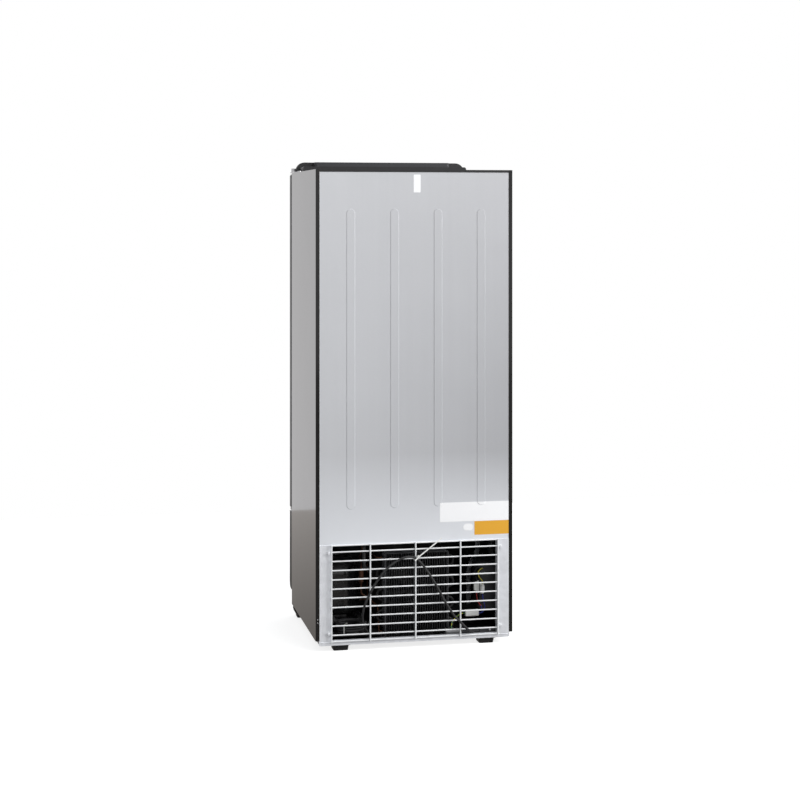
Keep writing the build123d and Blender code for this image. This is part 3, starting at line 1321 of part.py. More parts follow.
def lead_clamp():
    """Plate on the tray with two rivets and the moulded grip that the lead leaves."""
    y = REAR - 16.5
    x = (-248, -147)
    plate = block(x, (y, y + 1.5), (TRAY_TOP + FIT, SIDE_BOTTOM + 14))
    clamp = plate + block(x, (y - 12, y + 1.5), (TRAY_TOP + FIT, TRAY_TOP + FIT + 1.5))
    grip = block((CLAMP_X, -200), (y, REAR - 5.5), (SIDE_BOTTOM + 0.5, SIDE_BOTTOM + 11))
    grip = fillet(grip.edges().filter_by(Axis.X).group_by(Axis.Y)[-1], 3)
    clamp += grip
    for x in (-170, -188):
        clamp += extrude(Plane(origin=(x, y + 1, SIDE_BOTTOM + 10.8), z_dir=(0, 1, 0)) * Circle(2.6), 1.5)
    return clamp


TIE_WIDTH = 3.6
TIE_SHEET = 1.2
TIE_MIDDLE = (-1.0, REAR, SIDE_BOTTOM + 232.9)
TIE_LEAN = 45.0


def cable_ties():
    """Flat straps: one holds the lead to the grille, one binds the coil."""
    inner = block((-6.6, 6.6), (-0.1, 18.6), (-TIE_WIDTH, TIE_WIDTH))
    half = TIE_WIDTH / 2
    loop_y = (-0.1 - TIE_SHEET, 18.6 + TIE_SHEET)
    loop = block((-6.6 - TIE_SHEET, 6.6 + TIE_SHEET), loop_y, (-half, half)) - inner
    loop += block((-11.5, -6.6 - TIE_SHEET / 2), (10, 15.5), (-half - 1, half + 1))
    loop = Pos(*TIE_MIDDLE) * Rot(0, TIE_LEAN, 0) * loop
    tail = Rot(0, 37, 0) * Pos(-50, 0, 0) * Box(92, TIE_SHEET, TIE_WIDTH)
    loop += Pos(TIE_MIDDLE[0], REAR + 14, TIE_MIDDLE[2]) * tail
    low = PLATFORM_TOP + FIT
    reach = (COIL_RADIUS - COIL_STEP * TURNS_PER_LAYER - 5.4, COIL_RADIUS + 5.4)
    top = COIL_LEVEL_LOW + (COIL_LAYERS - 1) * LAYER_STEP + LEAD_DIAMETER / 2 + TIE_SHEET + 0.3
    band = block((-half, half), reach, (low, top))
    band -= block((-3, 3), (reach[0] + TIE_SHEET, reach[1] - TIE_SHEET), (low - 1, top - TIE_SHEET))
    band = Pos(COIL_X, REAR - COIL_INSET, 0) * Rot(0, 0, -30) * band
    return loop, band


def build():
    """Makes every piece and writes it."""
    right = right_side_panel()
    save("right_side_panel", right)
    save("left_side_panel", mirrored(right))
    save("top_panel", top_panel())
    save("back_panel", back_panel())
    save("insulation_foam", insulation_foam(passages))
    save("inner_liner", inner_liner(passages))
    save("front_collar", front_collar())
    frame = compartment_frame()
    for passage in passages:
        frame -= passage
    save("compartment_frame", frame)
    save("rear_sill", rear_sill())
    save("base_tray", base_tray())
    rear_y, front_y = REAR - REAR_FOOT_INSET, FRONT + FRONT_FOOT_INSET
    feet = [foot(side * REAR_FOOT_X, rear_y) for side in (-1, 1)]
    feet += [foot(side * FRONT_FOOT_X, front_y) for side in (-1, 1)]
    save("feet", *feet)
    save("kick_panel", *kick_panel())
    save("crown_fascia", crown_fascia())
    save("crown_housing", crown_housing())

    save("door_frame", door_frame())
    save("outer_glass", pane(0))
    save("inner_glass", pane(PANE + PANE_GAP))
    save("glass_spacer", glass_spacer())
    save("door_gasket", door_gasket())
    save("door_handle", door_handle())
    upper = hinge_bush(DOOR_TOP - PIN_REACH, DOOR_TOP)
    lower = hinge_bush(DOOR_BOTTOM, DOOR_BOTTOM - BUSH_FLANGE)
    save("hinge_bushes", upper, lower)
    save("top_hinge_bracket", top_hinge_bracket())
    save("bottom_hinge_bracket", bottom_hinge_bracket())
    save("hinge_pins", *hinge_pins())

    save("shelf_standards", *shelf_standards())
    save("shelf_clips", *shelf_clips())
    for index in range(SHELF_COUNT):
        save(f"shelf_{index + 1}", wire_shelf(shelf_level(index)))
    save("light_strip", light_strip())
    save("evaporator_coil", evaporator_coil())
    save("evaporator_cover", evaporator_cover())
    place = Pos(0, ROOM_FAN_Y, COVER_FLOOR + 6)
    blade, axle = fan_blade(EVAPORATOR_FAN_RADIUS, 15, 5, 20, SHAFT_RADIUS, 40)
    save("evaporator_fan_blade", place * blade, place * axle)
    motor_length = ROOM_TOP - COVER_FLOOR - 6 - 30
    motor = fan_motor(28, motor_length - FIT, SHAFT_RADIUS + RUNNING_CLEARANCE)
    save("evaporator_fan_motor", Pos(0, ROOM_FAN_Y, COVER_FLOOR + 36) * motor)
    save("drain_tube", pipe(drain_points, DRAIN_TUBE, DRAIN_BENDS))
    save("condensate_pan", condensate_pan())

    save("compressor_platform", compressor_platform())
    save("compressor", compressor())
    save("compressor_grommets", *compressor_grommets())
    save("compressor_terminal_cover", compressor_terminal_cover())
    save("suction_line", pipe(suction_points, SUCTION_TUBE, SUCTION_BENDS[:4]))
    save("discharge_line", discharge_line())
    save("filter_drier", filter_drier())
    save("condenser_fins", condenser_fins())
    save("condenser_tube", condenser_tube())
    save("fan_shroud", fan_shroud())
    turned = Plane(origin=(CONDENSER_MIDDLE, FAN_BACK, FAN_LEVEL), z_dir=(0, -1, 0)).location
    blade, axle = fan_blade(FAN_RADIUS, FAN_HUB, 5, FAN_DEPTH, SHAFT_RADIUS, FAN_DEPTH + 30)
    save("condenser_fan_blade", turned * blade, turned * axle)
    motor = fan_motor(MOTOR_RADIUS, MOTOR_LENGTH, SHAFT_RADIUS + RUNNING_CLEARANCE)
    seat = Plane(origin=(CONDENSER_MIDDLE, MOTOR_BACK - FIT, FAN_LEVEL), z_dir=(0, -1, 0)).location
    save("condenser_fan_motor", seat * motor)
    save("control_box", control_box())
    save("terminal_strip", terminal_strip())
    save("wire_connectors", *wire_connectors())
    save("earth_wire", earth_wire())
    save("control_wires", *control_wires())

    save("rear_grille", rear_grille())
    save("grille_screws", *grille_screws())
    save("lead_clamp", lead_clamp())
    save("mains_lead", mains_lead())
    save("lead_coil", lead_coil())
    save("mains_plug", mains_plug())
    save("cable_ties", *cable_ties())


build()
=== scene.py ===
"""Looks of the glass door display fridge: materials, the mains lead, labels, fasteners and studio."""
import json
import math
import bmesh
import bpy
from mathutils import Matrix, Vector


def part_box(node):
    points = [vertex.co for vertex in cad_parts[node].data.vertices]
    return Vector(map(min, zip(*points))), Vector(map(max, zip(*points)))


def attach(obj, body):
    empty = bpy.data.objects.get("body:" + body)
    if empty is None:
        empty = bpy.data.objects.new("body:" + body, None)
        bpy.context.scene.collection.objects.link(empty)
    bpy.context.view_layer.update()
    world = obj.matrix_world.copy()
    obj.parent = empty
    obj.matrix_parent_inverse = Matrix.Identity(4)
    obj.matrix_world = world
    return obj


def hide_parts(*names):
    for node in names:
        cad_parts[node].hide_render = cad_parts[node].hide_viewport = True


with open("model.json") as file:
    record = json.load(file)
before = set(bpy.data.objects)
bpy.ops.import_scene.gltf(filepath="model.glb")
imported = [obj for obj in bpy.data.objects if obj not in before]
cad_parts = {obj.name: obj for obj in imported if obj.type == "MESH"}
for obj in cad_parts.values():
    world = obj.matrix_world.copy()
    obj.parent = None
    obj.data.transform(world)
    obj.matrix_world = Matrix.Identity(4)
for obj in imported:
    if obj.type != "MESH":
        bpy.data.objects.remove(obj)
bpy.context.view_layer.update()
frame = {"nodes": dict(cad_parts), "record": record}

# Driving sizes and places in metres, read from the frame where a solid gives them.


def solid_box(node_name):
    """The lowest and highest corners of a solid, to the micrometre."""
    return [[round(value, 6) for value in corner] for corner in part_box(node_name)]


side_low, side_high = solid_box("right_side_panel")
SIDE_BOTTOM = side_low[2]
HALF, REAR, CABINET_TOP = side_high
PLATFORM_TOP = solid_box("compressor_platform")[1][2]
RIB_RISE = 0.0012
BACK_FACE = solid_box("back_panel")[1][1] - RIB_RISE
LEAD_DIAMETER = 0.007

# Shader maths.


class Value:
    """A socket of a node tree, with arithmetic that adds Math nodes."""

    def __init__(self, nodes, socket):
        self.nodes = nodes
        self.socket = socket

    def maths(self, operation, *others, clamp=False):
        node = self.nodes.add("ShaderNodeMath", self, *others, operation=operation, use_clamp=clamp)
        return Value(self.nodes, node.outputs[0])

    def __add__(self, other):
        return self.maths("ADD", other)

    __radd__ = __add__

    def __sub__(self, other):
        return self.maths("SUBTRACT", other)

    def __rsub__(self, other):
        return (self * -1.0) + other

    def __mul__(self, other):
        return self.maths("MULTIPLY", other)

    __rmul__ = __mul__

    def power(self, other):
        return self.maths("POWER", other)

    def above(self, other):
        return self.maths("GREATER_THAN", other)

    def clamp(self):
        return self.maths("ADD", 0.0, clamp=True)

    def blend(self, low, high):
        """A colour between two colours by this value."""
        node = self.nodes.add("ShaderNodeMix", data_type="RGBA")
        self.nodes.feed(node.inputs["Factor"], self)
        for name, colour in (("A", low), ("B", high)):
            socket = [s for s in node.inputs if s.name == name and s.type == "RGBA"][0]
            self.nodes.feed(socket, colour)
        return Value(self.nodes, [s for s in node.outputs if s.type == "RGBA"][0])


class Nodes:
    """A node tree under construction."""

    def __init__(self, tree):
        self.tree = tree

    def feed(self, socket, value):
        """Links a value or a socket to a socket, or sets a plain number or colour on it."""
        if isinstance(value, Value):
            value = value.socket
        if isinstance(value, bpy.types.NodeSocket):
            self.tree.links.new(value, socket)
        elif socket.type == "RGBA" and len(value) == 3:
            socket.default_value = (*value, 1.0)
        else:
            socket.default_value = value

    def add(self, kind, *inputs, named=None, **settings):
        """A new node: its settings first, then its sockets in their order or by name."""
        node = self.tree.nodes.new(kind)
        for key, value in settings.items():
            setattr(node, key, value)
        for socket, value in zip(node.inputs, inputs):
            self.feed(socket, value)
        for name, value in (named or {}).items():
            self.feed(node.inputs[name], value)
        return node

    def mixed(self, factor, low, high):
        """One shader at a factor of 0 and another at 1."""
        return self.add("ShaderNodeMixShader", factor, low, high).outputs[0]

    def rays(self, *kinds):
        """1 for the named kinds of ray and 0 for all others."""
        path = self.add("ShaderNodeLightPath")
        met = Value(self, path.outputs[kinds[0]])
        for kind in kinds[1:]:
            met = met.maths("MAXIMUM", path.outputs[kind])
        return met


class Shader(Nodes):
    """The Principled shader of one material under construction."""

    def __init__(self, name):
        self.material = bpy.data.materials.new(name)
        self.material.use_nodes = True
        super().__init__(self.material.node_tree)
        self.principled = self.tree.nodes["Principled BSDF"]
        self.place = self.add("ShaderNodeTexCoord").outputs["Object"]

    def stretched(self, stretch):
        """Object coordinates, scaled by a factor along each axis where one is given."""
        if stretch is None:
            return self.place
        return self.add("ShaderNodeVectorMath", self.place, stretch, operation="MULTIPLY").outputs[0]

    def noise(self, scale, detail=3.0, rough=0.5, stretch=None):
        node = self.add("ShaderNodeTexNoise", named={
            "Vector": self.stretched(stretch), "Scale": scale, "Detail": detail, "Roughness": rough,
        })
        return Value(self, node.outputs[0])

    def cells(self, scale, output="Distance", stretch=None):
        node = self.add("ShaderNodeTexVoronoi", named={"Vector": self.stretched(stretch), "Scale": scale})
        return Value(self, node.outputs[output])

    def axis(self, letter):
        return Value(self, self.add("ShaderNodeSeparateXYZ", self.place).outputs[letter])

    def wear(self, low, high):
        """Outer edges by the mesh's curvature: 0 at a pointiness of low, 1 at high."""
        pointed = Value(self, self.add("ShaderNodeNewGeometry").outputs["Pointiness"])
        return ((pointed - low) * (1.0 / (high - low))).clamp()

    def set(self, **values):
        for name, value in values.items():
            self.feed(self.principled.inputs[name.replace("_", " ")], value)
        return self

    def bump(self, height, distance):
        node = self.add("ShaderNodeBump", named={"Strength": 1.0, "Distance": distance, "Height": height})
        self.feed(self.principled.inputs["Normal"], node.outputs["Normal"])
        return self


def tint(colour, factor):
    return tuple(min(1.0, c * factor) for c in colour)


# Finishes.


def painted(name, colour, rough, peel=0.00003, spread=0.06, coat=0.0, metal=0.0):
    """Smooth paint: faint orange peel over a slightly cloudy colour and roughness."""
    s = Shader(name)
    s.set(Base_Color=s.noise(3.0, 4.0).blend(tint(colour, 1 - spread), tint(colour, 1 + spread)))
    s.set(Roughness=s.noise(9.0, 5.0) * 0.12 + (rough - 0.06), Metallic=metal)
    s.set(Coat_Weight=coat, Coat_Roughness=0.08)
    return s.bump(s.noise(420.0, 2.0), peel)


def moulded(name, colour, rough=0.5, grain=900.0, height=0.00006, spread=0.1):
    """Moulded plastic with a fine spark-eroded grain and paler rubbed edges."""
    s = Shader(name)
    base = s.noise(6.0, 4.0).blend(tint(colour, 1 - spread), tint(colour, 1 + spread))
    rubbed = s.wear(0.52, 0.60) * 0.35
    s.set(Base_Color=rubbed.blend(base, tint(colour, 1.7)))
    s.set(Roughness=s.noise(30.0, 3.0) * 0.16 + (rough - 0.08))
    return s.bump(s.cells(grain) * 0.7 + s.noise(grain * 0.6, 2.0) * 0.5, height)


def zinc(name, colour, rough):
    """Galvanised sheet: spangles in a cloudy bloom, with painted light that makes it lighter towards the
    hinge side.
    """
    s = Shader(name)
    grey = s.add("ShaderNodeSeparateColor", s.cells(95.0, output="Color"))
    crystal = Value(s, grey.outputs[0])
    bloom = s.noise(14.0, 5.0)
    shade = (crystal * 0.35 + bloom * 0.65).clamp()
    # Painted light: the zinc is lighter towards the hinge side (+X) and plainer away from it.
    painted_light_side = (s.axis("X") * 1.6 + 0.5).clamp()
    plain = shade.blend(tint(colour, 0.91), tint(colour, 1.07))
    painted_lit_zinc = shade.blend(tint(colour, 1.05), tint(colour, 1.16))
    s.set(Base_Color=painted_light_side.blend(plain, painted_lit_zinc))
    s.set(Roughness=crystal * 0.12 + (rough - 0.07) + bloom * 0.05, Metallic=0.35)
    return s.bump(crystal + s.noise(700.0, 2.0) * 0.3, 0.00002)


def brushed(name, colour, rough, stretch):
    """Drawn or turned metal with fine lines along one direction."""
    s = Shader(name)
    lines = s.noise(60.0, 4.0, 0.6, stretch)
    cloud = lines * 0.6 + s.noise(20.0) * 0.4
    s.set(Base_Color=cloud.blend(tint(colour, 0.85), tint(colour, 1.1)))
    s.set(Roughness=lines * 0.2 + (rough - 0.1), Metallic=1.0)
    return s.bump(lines, 0.00002)


def prepainted():
    """Pale coated back sheet: soft rolling waves, faint upright draw lines and fine specks, under painted
    light: lighter towards the hinge side, evener at the top, and lighter and bluer near the bottom.
    """
    s = Shader("back_sheet_coat")
    lines = s.noise(40.0, 4.0, 0.6, (1.0, 1.0, 0.03))
    speck = s.cells(420.0).power(2.0)
    shade = (s.noise(2.2, 5.0) * 0.4 + lines * 0.4 + speck * 0.2).clamp()
    # Painted light: the sheet is lighter towards the hinge side and darker away from it.
    painted_light_side = (s.axis("X") * 1.4 + 0.5).clamp()
    darker = shade.blend((0.425, 0.43, 0.45), (0.475, 0.48, 0.50))
    paler = shade.blend((0.65, 0.66, 0.685), (0.735, 0.745, 0.77))
    even = shade.blend((0.58, 0.585, 0.605), (0.66, 0.665, 0.685))
    # Painted light: the fall from side to side is evened out at the top, and the sheet is painted lighter and
    # bluer near the bottom.
    high = (s.axis("Z") * 1.6 - 1.2).clamp()
    low = (s.axis("Z") * -4.0 + 2.3).clamp()
    plain = (high * 0.5).blend(painted_light_side.blend(darker, paler), even)
    s.set(Base_Color=(low * 0.85).blend(plain, (0.93, 0.955, 1.0)))
    s.set(Roughness=s.noise(5.0, 5.0) * 0.14 + 0.32, Metallic=0.3)
    return s.bump(s.noise(2.6, 2.0) * 5.0 + lines * 0.08, 0.00035)


def foam_core():
    """Rigid foam with open cells at its cut faces."""
    s = Shader("foam_core")
    cell = s.cells(520.0)
    shade = cell * 0.6 + s.noise(12.0) * 0.4
    s.set(Base_Color=shade.blend((0.62, 0.50, 0.27), (0.84, 0.74, 0.48)), Roughness=0.85)
    return s.bump(cell, 0.0003)


def pane_glass():
    """Clear float glass with faint smears."""
    s = Shader("pane_glass")
    s.set(Base_Color=(0.985, 0.996, 0.993), Roughness=s.noise(7.0, 5.0).power(3.0) * 0.03)
    return s.set(IOR=1.5, Transmission_Weight=1.0)


def extruded_rubber(name, colour):
    """Dull rubber or soft sheath with a fine skin."""
    s = Shader(name)
    s.set(Base_Color=s.noise(25.0, 4.0).blend(tint(colour, 0.7), tint(colour, 1.5)))
    s.set(Roughness=s.noise(60.0) * 0.15 + 0.55)
    return s.bump(s.noise(600.0, 3.0), 0.00005)


def copper_tube():
    """Copper gone dark brown in patches."""
    s = Shader("copper_tube")
    dull = s.noise(30.0, 5.0)
    s.set(Base_Color=dull.blend((0.05, 0.025, 0.016), (0.17, 0.085, 0.055)))
    s.set(Roughness=dull * 0.25 + 0.3, Metallic=0.9)
    return s.bump(s.noise(300.0, 3.0), 0.00003)


def striped_wire(name, ground, stripe):
    """Insulated wire with bands of a second colour."""
    s = Shader(name)
    band = s.cells(150.0, stretch=(1.0, 1.0, 0.6)).above(0.5)
    s.set(Base_Color=band.blend(ground, stripe), Roughness=s.noise(50.0) * 0.1 + 0.35)
    return s.bump(s.noise(800.0), 0.00002)


def lit_lens():
    """Frosted cover of the light, glowing evenly."""
    s = Shader("light_lens")
    s.set(Base_Color=(0.9, 0.92, 0.95), Roughness=s.noise(80.0) * 0.1 + 0.3)
    s.set(Emission_Color=s.noise(90.0).blend((0.93, 0.96, 1.0), (1.0, 1.0, 1.0)), Emission_Strength=3.5)
    return s.bump(s.cells(500.0), 0.0001)


def enamel_shell():
    """Glossy black paint over a drawn shell, with runs and a light dusting."""
    s = Shader("enamel_shell")
    settled = s.noise(45.0, 5.0).power(2.0) * 0.25
    s.set(Base_Color=settled.blend((0.018, 0.018, 0.019), (0.075, 0.075, 0.078)))
    s.set(Roughness=s.noise(12.0, 4.0) * 0.15 + 0.14, Coat_Weight=0.6, Coat_Roughness=0.06)
    return s.bump(s.noise(90.0, 3.0), 0.0001)


def fin_paint():
    """Thin black dip paint on the fins, with painted highlight: the fins lighter than the tube's same paint
    and grey on their edges.
    """
    s = Shader("fin_paint")
    # Painted highlight: the fins' edges, found by the mesh's curvature, are painted grey.
    edge = s.wear(0.50, 0.56) * 0.6
    s.set(Base_Color=edge.blend((0.034, 0.034, 0.037), (0.16, 0.16, 0.17)))
    s.set(Roughness=s.noise(60.0, 4.0) * 0.2 + 0.32)
    return s.bump(s.noise(500.0), 0.00003)


def gloss_side():
    """Black coated steel side: a hard clear gloss with slight waviness."""
    s = Shader("gloss_side")
    s.set(Base_Color=s.noise(5.0, 4.0).blend((0.010, 0.010, 0.0105), (0.016, 0.0155, 0.015)))
    s.set(Roughness=s.noise(16.0, 5.0) * 0.05 + 0.075, IOR=1.36)
    s.set(Coat_Weight=0.35, Coat_Roughness=0.05, Coat_IOR=1.36)
    return s.bump(s.noise(3.2, 2.0) * 4.0 + s.noise(520.0) * 0.02, 0.00012)


LOOKS = {
    "gloss_side": gloss_side(),
    "black_steel": painted("black_steel_coat", (0.010, 0.010, 0.0105), 0.42, coat=0.1),
    "back_sheet": prepainted(),
    "galvanised": zinc("zinc_spangle", (0.80, 0.815, 0.85), 0.42),
    "liner_white": moulded("liner_plastic", (0.80, 0.81, 0.81), 0.4, 300.0, 0.00003, 0.03),
    "foam": foam_core(),
    "deep_black": moulded("deep_black_moulding", (0.016, 0.016, 0.017), 0.6),
    "black_plastic": moulded("black_moulding", (0.014, 0.014, 0.015), 0.42),
    "dark_grey_plastic": moulded("grey_moulding", (0.026, 0.027, 0.030), 0.5),
    "pane_glass": pane_glass(),
    "spacer_metal": brushed("spacer_metal", (0.62, 0.63, 0.65), 0.35, (1.0, 1.0, 8.0)),
    "black_rubber": extruded_rubber("black_rubber", (0.018, 0.018, 0.018)),
    "steel": brushed("turned_steel", (0.55, 0.55, 0.56), 0.32, (1.0, 1.0, 12.0)),
    "nylon": moulded("natural_nylon", (0.80, 0.80, 0.77), 0.38, 500.0, 0.00002, 0.04),
    "clear_nylon": moulded("clear_nylon", (0.30, 0.30, 0.29), 0.3, 500.0, 0.00002, 0.05),
    "coated_wire": painted("white_wire_coat", (0.84, 0.85, 0.86), 0.32, 0.00004, 0.03, coat=0.25),
    "fin_metal": brushed("fin_metal", (0.72, 0.73, 0.75), 0.3, (8.0, 1.0, 1.0)),
    "cover_grey": moulded("cover_plastic", (0.66, 0.67, 0.69), 0.42, 400.0, 0.00003, 0.03),
    "motor_metal": painted("motor_coat", (0.09, 0.09, 0.095), 0.4, 0.00005, 0.1, metal=0.5),
    "black_enamel": enamel_shell(),
    "fin_paint": fin_paint(),
    "tube_paint": painted("tube_paint", (0.007, 0.007, 0.0075), 0.6),
    "copper": copper_tube(),
    "blade_metal": brushed("blade_metal", (0.58, 0.59, 0.6), 0.34, (1.0, 1.0, 6.0)),
    "light_lens": lit_lens(),
    "lead_black": extruded_rubber("lead_sheath", (0.014, 0.014, 0.015)),
    "blue_wire": striped_wire("blue_wire", (0.02, 0.03, 0.26), (0.03, 0.05, 0.32)),
    "red_wire": striped_wire("red_wire", (0.34, 0.02, 0.02), (0.46, 0.03, 0.03)),
    "green_wire": striped_wire("green_wire", (0.42, 0.38, 0.03), (0.04, 0.16, 0.05)),
    "yellow_wire": striped_wire("yellow_wire", (0.55, 0.47, 0.04), (0.62, 0.54, 0.07)),
    "label_white": painted("label_paper", (0.96, 0.96, 0.97), 0.4, 0.00001, 0.015),
    "label_amber": painted("label_amber", (0.80, 0.40, 0.03), 0.4, 0.00001, 0.05),
}

# Nodes whose finish differs from that of their slot. All others take the look of their slot's name.

OWN_LOOK = {
    "left_side_panel": "gloss_side",
    "right_side_panel": "gloss_side",
    "condenser_fins": "fin_paint",
    "condenser_tube": "tube_paint",
    "fan_shroud": "deep_black",
    "grille_screws": "galvanised",
}
SLOT_OF = {row["node"]: row["material_slot"] for row in frame["record"]["subparts"]}
for node_name, node in frame["nodes"].items():
    look = LOOKS[OWN_LOOK.get(node_name, SLOT_OF[node_name])].material
    node.data.materials.clear()
    node.data.materials.append(look)

# Building pieces.


def finish_piece(piece, look, body="cabinet"):
    """Puts a piece in the scene with a look, on a body."""
    bpy.context.scene.collection.objects.link(piece)
    piece.data.materials.append(LOOKS[look].material)
    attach(piece, body)
    return piece


def mesh_piece(name, build, look, smooth=True):
    """A piece whose mesh is filled in by a function."""
    mesh = bpy.data.meshes.new(name)
    bm = bmesh.new()
    build(bm)
    bmesh.ops.recalc_face_normals(bm, faces=bm.faces)
    bm.to_mesh(mesh)
    bm.free()
    for polygon in mesh.polygons:
        polygon.use_smooth = smooth
    finish_piece(bpy.data.objects.new(name, mesh), look)


def circle(count):
    """Cosine and sine at even steps round a circle."""
    return [(math.cos(2 * math.pi * i / count), math.sin(2 * math.pi * i / count)) for i in range(count)]


# Screws.

HEAD_SIDES = 20
# Outline of a pan head with a driver recess: radius and height as shares of the head's radius.
PAN_HEAD = (
    (1.0, 0.0), (1.0, 0.25), (0.86, 0.52), (0.55, 0.66), (0.42, 0.67), (0.30, 0.38), (0.1, 0.2), (0, 0.18),
)


def turned(bm, profile, place, axis):
    """Adds a turned shape: profile is (radius, height) pairs along an axis from a place."""
    turn = Vector((0, 0, 1)).rotation_difference(Vector(axis)).to_matrix().to_4x4()
    where = Matrix.Translation(place) @ turn
    rings = []
    for radius, height in profile:
        spots = circle(HEAD_SIDES) if radius else [(0, 0)]
        rings.append([bm.verts.new(where @ Vector((radius * c, radius * s, height))) for c, s in spots])
    for low, high in zip(rings, rings[1:]):
        for i in range(HEAD_SIDES):
            j = (i + 1) % HEAD_SIDES
            corners = [low[i % len(low)], low[j % len(low)], high[j % len(high)], high[i % len(high)]]
            unique = list(dict.fromkeys(corners))
            if len(unique) > 2:
                bm.faces.new(unique)


def screw_heads(name, places, axis, radius):
    """Pan heads that face along an axis."""
    profile = [(across * radius, up * radius) for across, up in PAN_HEAD]

    def build(bm):
        for place in places:
            turned(bm, profile, place, axis)

    mesh_piece(name, build, "steel")


# Labels on the back sheet.

RIB_COUNT = 4
RIB_FIRST = -0.2011
RIB_SPACING = 0.1314
RIB_HALF = 0.0125
RIB_FOOT = 0.382
RIB_END = SIDE_BOTTOM + RIB_FOOT + RIB_HALF
LABEL_STAND_OFF = 0.0003
LABEL_THICKNESS = 0.00028
LABEL_GRID = 0.002
LABEL_CORNER = 0.002
CURL_FROM = 0.8


def sheet_rise(x, z):
    """How far the back sheet stands out at a place, on its pressed ribs."""
    ribs = [RIB_FIRST + RIB_SPACING * i for i in range(RIB_COUNT)]
    reach = min(math.hypot(x - rib, min(0.0, z - RIB_END)) for rib in ribs)
    return RIB_RISE * min(1.0, max(0.0, (RIB_HALF - reach) / RIB_RISE))


def label(name, x, z, size, look, curl=0.0, corner=LABEL_CORNER):
    """A thin bare label that follows the back sheet, its corners rounded and slightly raised."""
    half = (size[0] / 2, size[1] / 2)
    counts = [max(4, round(2 * h / LABEL_GRID)) for h in half]

    def surface_point(i, j):
        u = (2 * i / counts[0] - 1) * half[0]
        v = (2 * j / counts[1] - 1) * half[1]
        over = (abs(u) - half[0] + corner, abs(v) - half[1] + corner)
        if min(over) > 0:
            pull = max(over) / math.hypot(*over)
            u = math.copysign(half[0] - corner + over[0] * pull, u)
            v = math.copysign(half[1] - corner + over[1] * pull, v)
        raised = curl * max(0.0, abs(u * v) / (half[0] * half[1]) - CURL_FROM)
        return x + u, BACK_FACE + LABEL_STAND_OFF + sheet_rise(x + u, z + v) + raised, z + v

    def build(bm):
        rows = []
        for j in range(counts[1] + 1):
            rows.append([bm.verts.new(surface_point(i, j)) for i in range(counts[0] + 1)])
        for low, high in zip(rows, rows[1:]):
            for i in range(counts[0]):
                bm.faces.new((low[i], low[i + 1], high[i + 1], high[i]))
        rim = [edge for edge in bm.edges if edge.is_boundary]
        for part in bmesh.ops.extrude_edge_only(bm, edges=rim)["geom"]:
            if isinstance(part, bmesh.types.BMVert):
                part.co.y -= LABEL_THICKNESS

    mesh_piece(name, build, look, smooth=False)


# Mains lead. Its route is in millimetres: x, the way behind the rear plane and the height.

ROUTE = [
    (-200, -10.5, 38.5), (-184, -10.5, 38.5), (-171, -1, 40), (-160, 12.5, 46.5), (-149, 16.5, 57),
    (-135, 16.5, 72), (-114, 16, 92), (-89, 15, 132), (-67, 14.5, 173), (-43, 14.5, 214), (-22, 14.5, 244),
    (1, 14.5, 270), (27, 14.5, 273.5), (52, 15, 266), (89, 15.5, 242), (118, 16, 206), (141, 16.5, 168),
    (157, 15, 131), (160.5, 6, 99), (154, -6, 72), (143.5, -20, 52.5), (136.5, -38, 45.8), (136.5, -57, 45.8),
]
COIL_MIDDLE = (0.184, REAR - 0.064)
COIL_RADIUS = 0.0475
COIL_STEP = 0.0076
COIL_LAYERS = 4
TURNS_PER_LAYER = 2
COIL_TURNS = COIL_LAYERS * TURNS_PER_LAYER
LAYER_GAP = 0.0005
LAYER_STEP = LEAD_DIAMETER + LAYER_GAP
CLIMB_TURNS = 0.5
PLATFORM_GAP = 0.0003
COIL_LOW = PLATFORM_TOP + PLATFORM_GAP + LEAD_DIAMETER / 2
TAIL_TURN = 0.25
TAIL_SPREAD = 0.009
TAIL_DROP = 0.0086
POINTS_PER_TURN = 16


def behind(x, y, z):
    """A place in metres from x, the way behind the rear plane and the height, in millimetres."""
    return x / 1000, REAR + y / 1000, z / 1000


def coil_point(turn):
    """Middle of the coiled lead after a number of turns, from the bottom outer loop upwards."""
    wound = min(turn, COIL_TURNS)
    phase = (wound / TURNS_PER_LAYER) % 2
    radius = COIL_RADIUS - COIL_STEP * TURNS_PER_LAYER * (phase if phase <= 1 else 2 - phase)
    level = 0.0
    for layer in range(1, COIL_LAYERS):
        climbed = (wound - layer * TURNS_PER_LAYER) / CLIMB_TURNS + 0.5
        level += LAYER_STEP * min(max(climbed, 0), 1)
    if turn > COIL_TURNS:
        share = (turn - COIL_TURNS) / TAIL_TURN
        radius += TAIL_SPREAD * share
        level -= TAIL_DROP * share
    angle = math.pi + 2 * math.pi * turn
    x = COIL_MIDDLE[0] + radius * math.cos(angle)
    y = COIL_MIDDLE[1] + radius * math.sin(angle)
    return x, y, COIL_LOW + level


def lead_piece():
    """The lead from its clamp over the grille's tie into the compartment, then its coil up to the plug."""
    points = [behind(*place) for place in ROUTE]
    count = round((COIL_TURNS + TAIL_TURN) * POINTS_PER_TURN)
    points += [coil_point(i / POINTS_PER_TURN) for i in range(count + 1)]
    end = points[-1]
    points.append((end[0] + LEAD_DIAMETER, end[1], end[2]))
    curve = bpy.data.curves.new("lead", "CURVE")
    curve.dimensions = "3D"
    spline = curve.splines.new("NURBS")
    spline.points.add(len(points) - 1)
    for point, place in zip(spline.points, points):
        point.co = (*place, 1.0)
    spline.order_u = 3
    spline.use_endpoint_u = True
    spline.resolution_u = 6
    curve.bevel_depth = LEAD_DIAMETER / 2
    curve.bevel_resolution = 4
    curve.use_fill_caps = True
    piece = finish_piece(bpy.data.objects.new("lead", curve), "lead_black")
    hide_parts("mains_lead", "lead_coil")


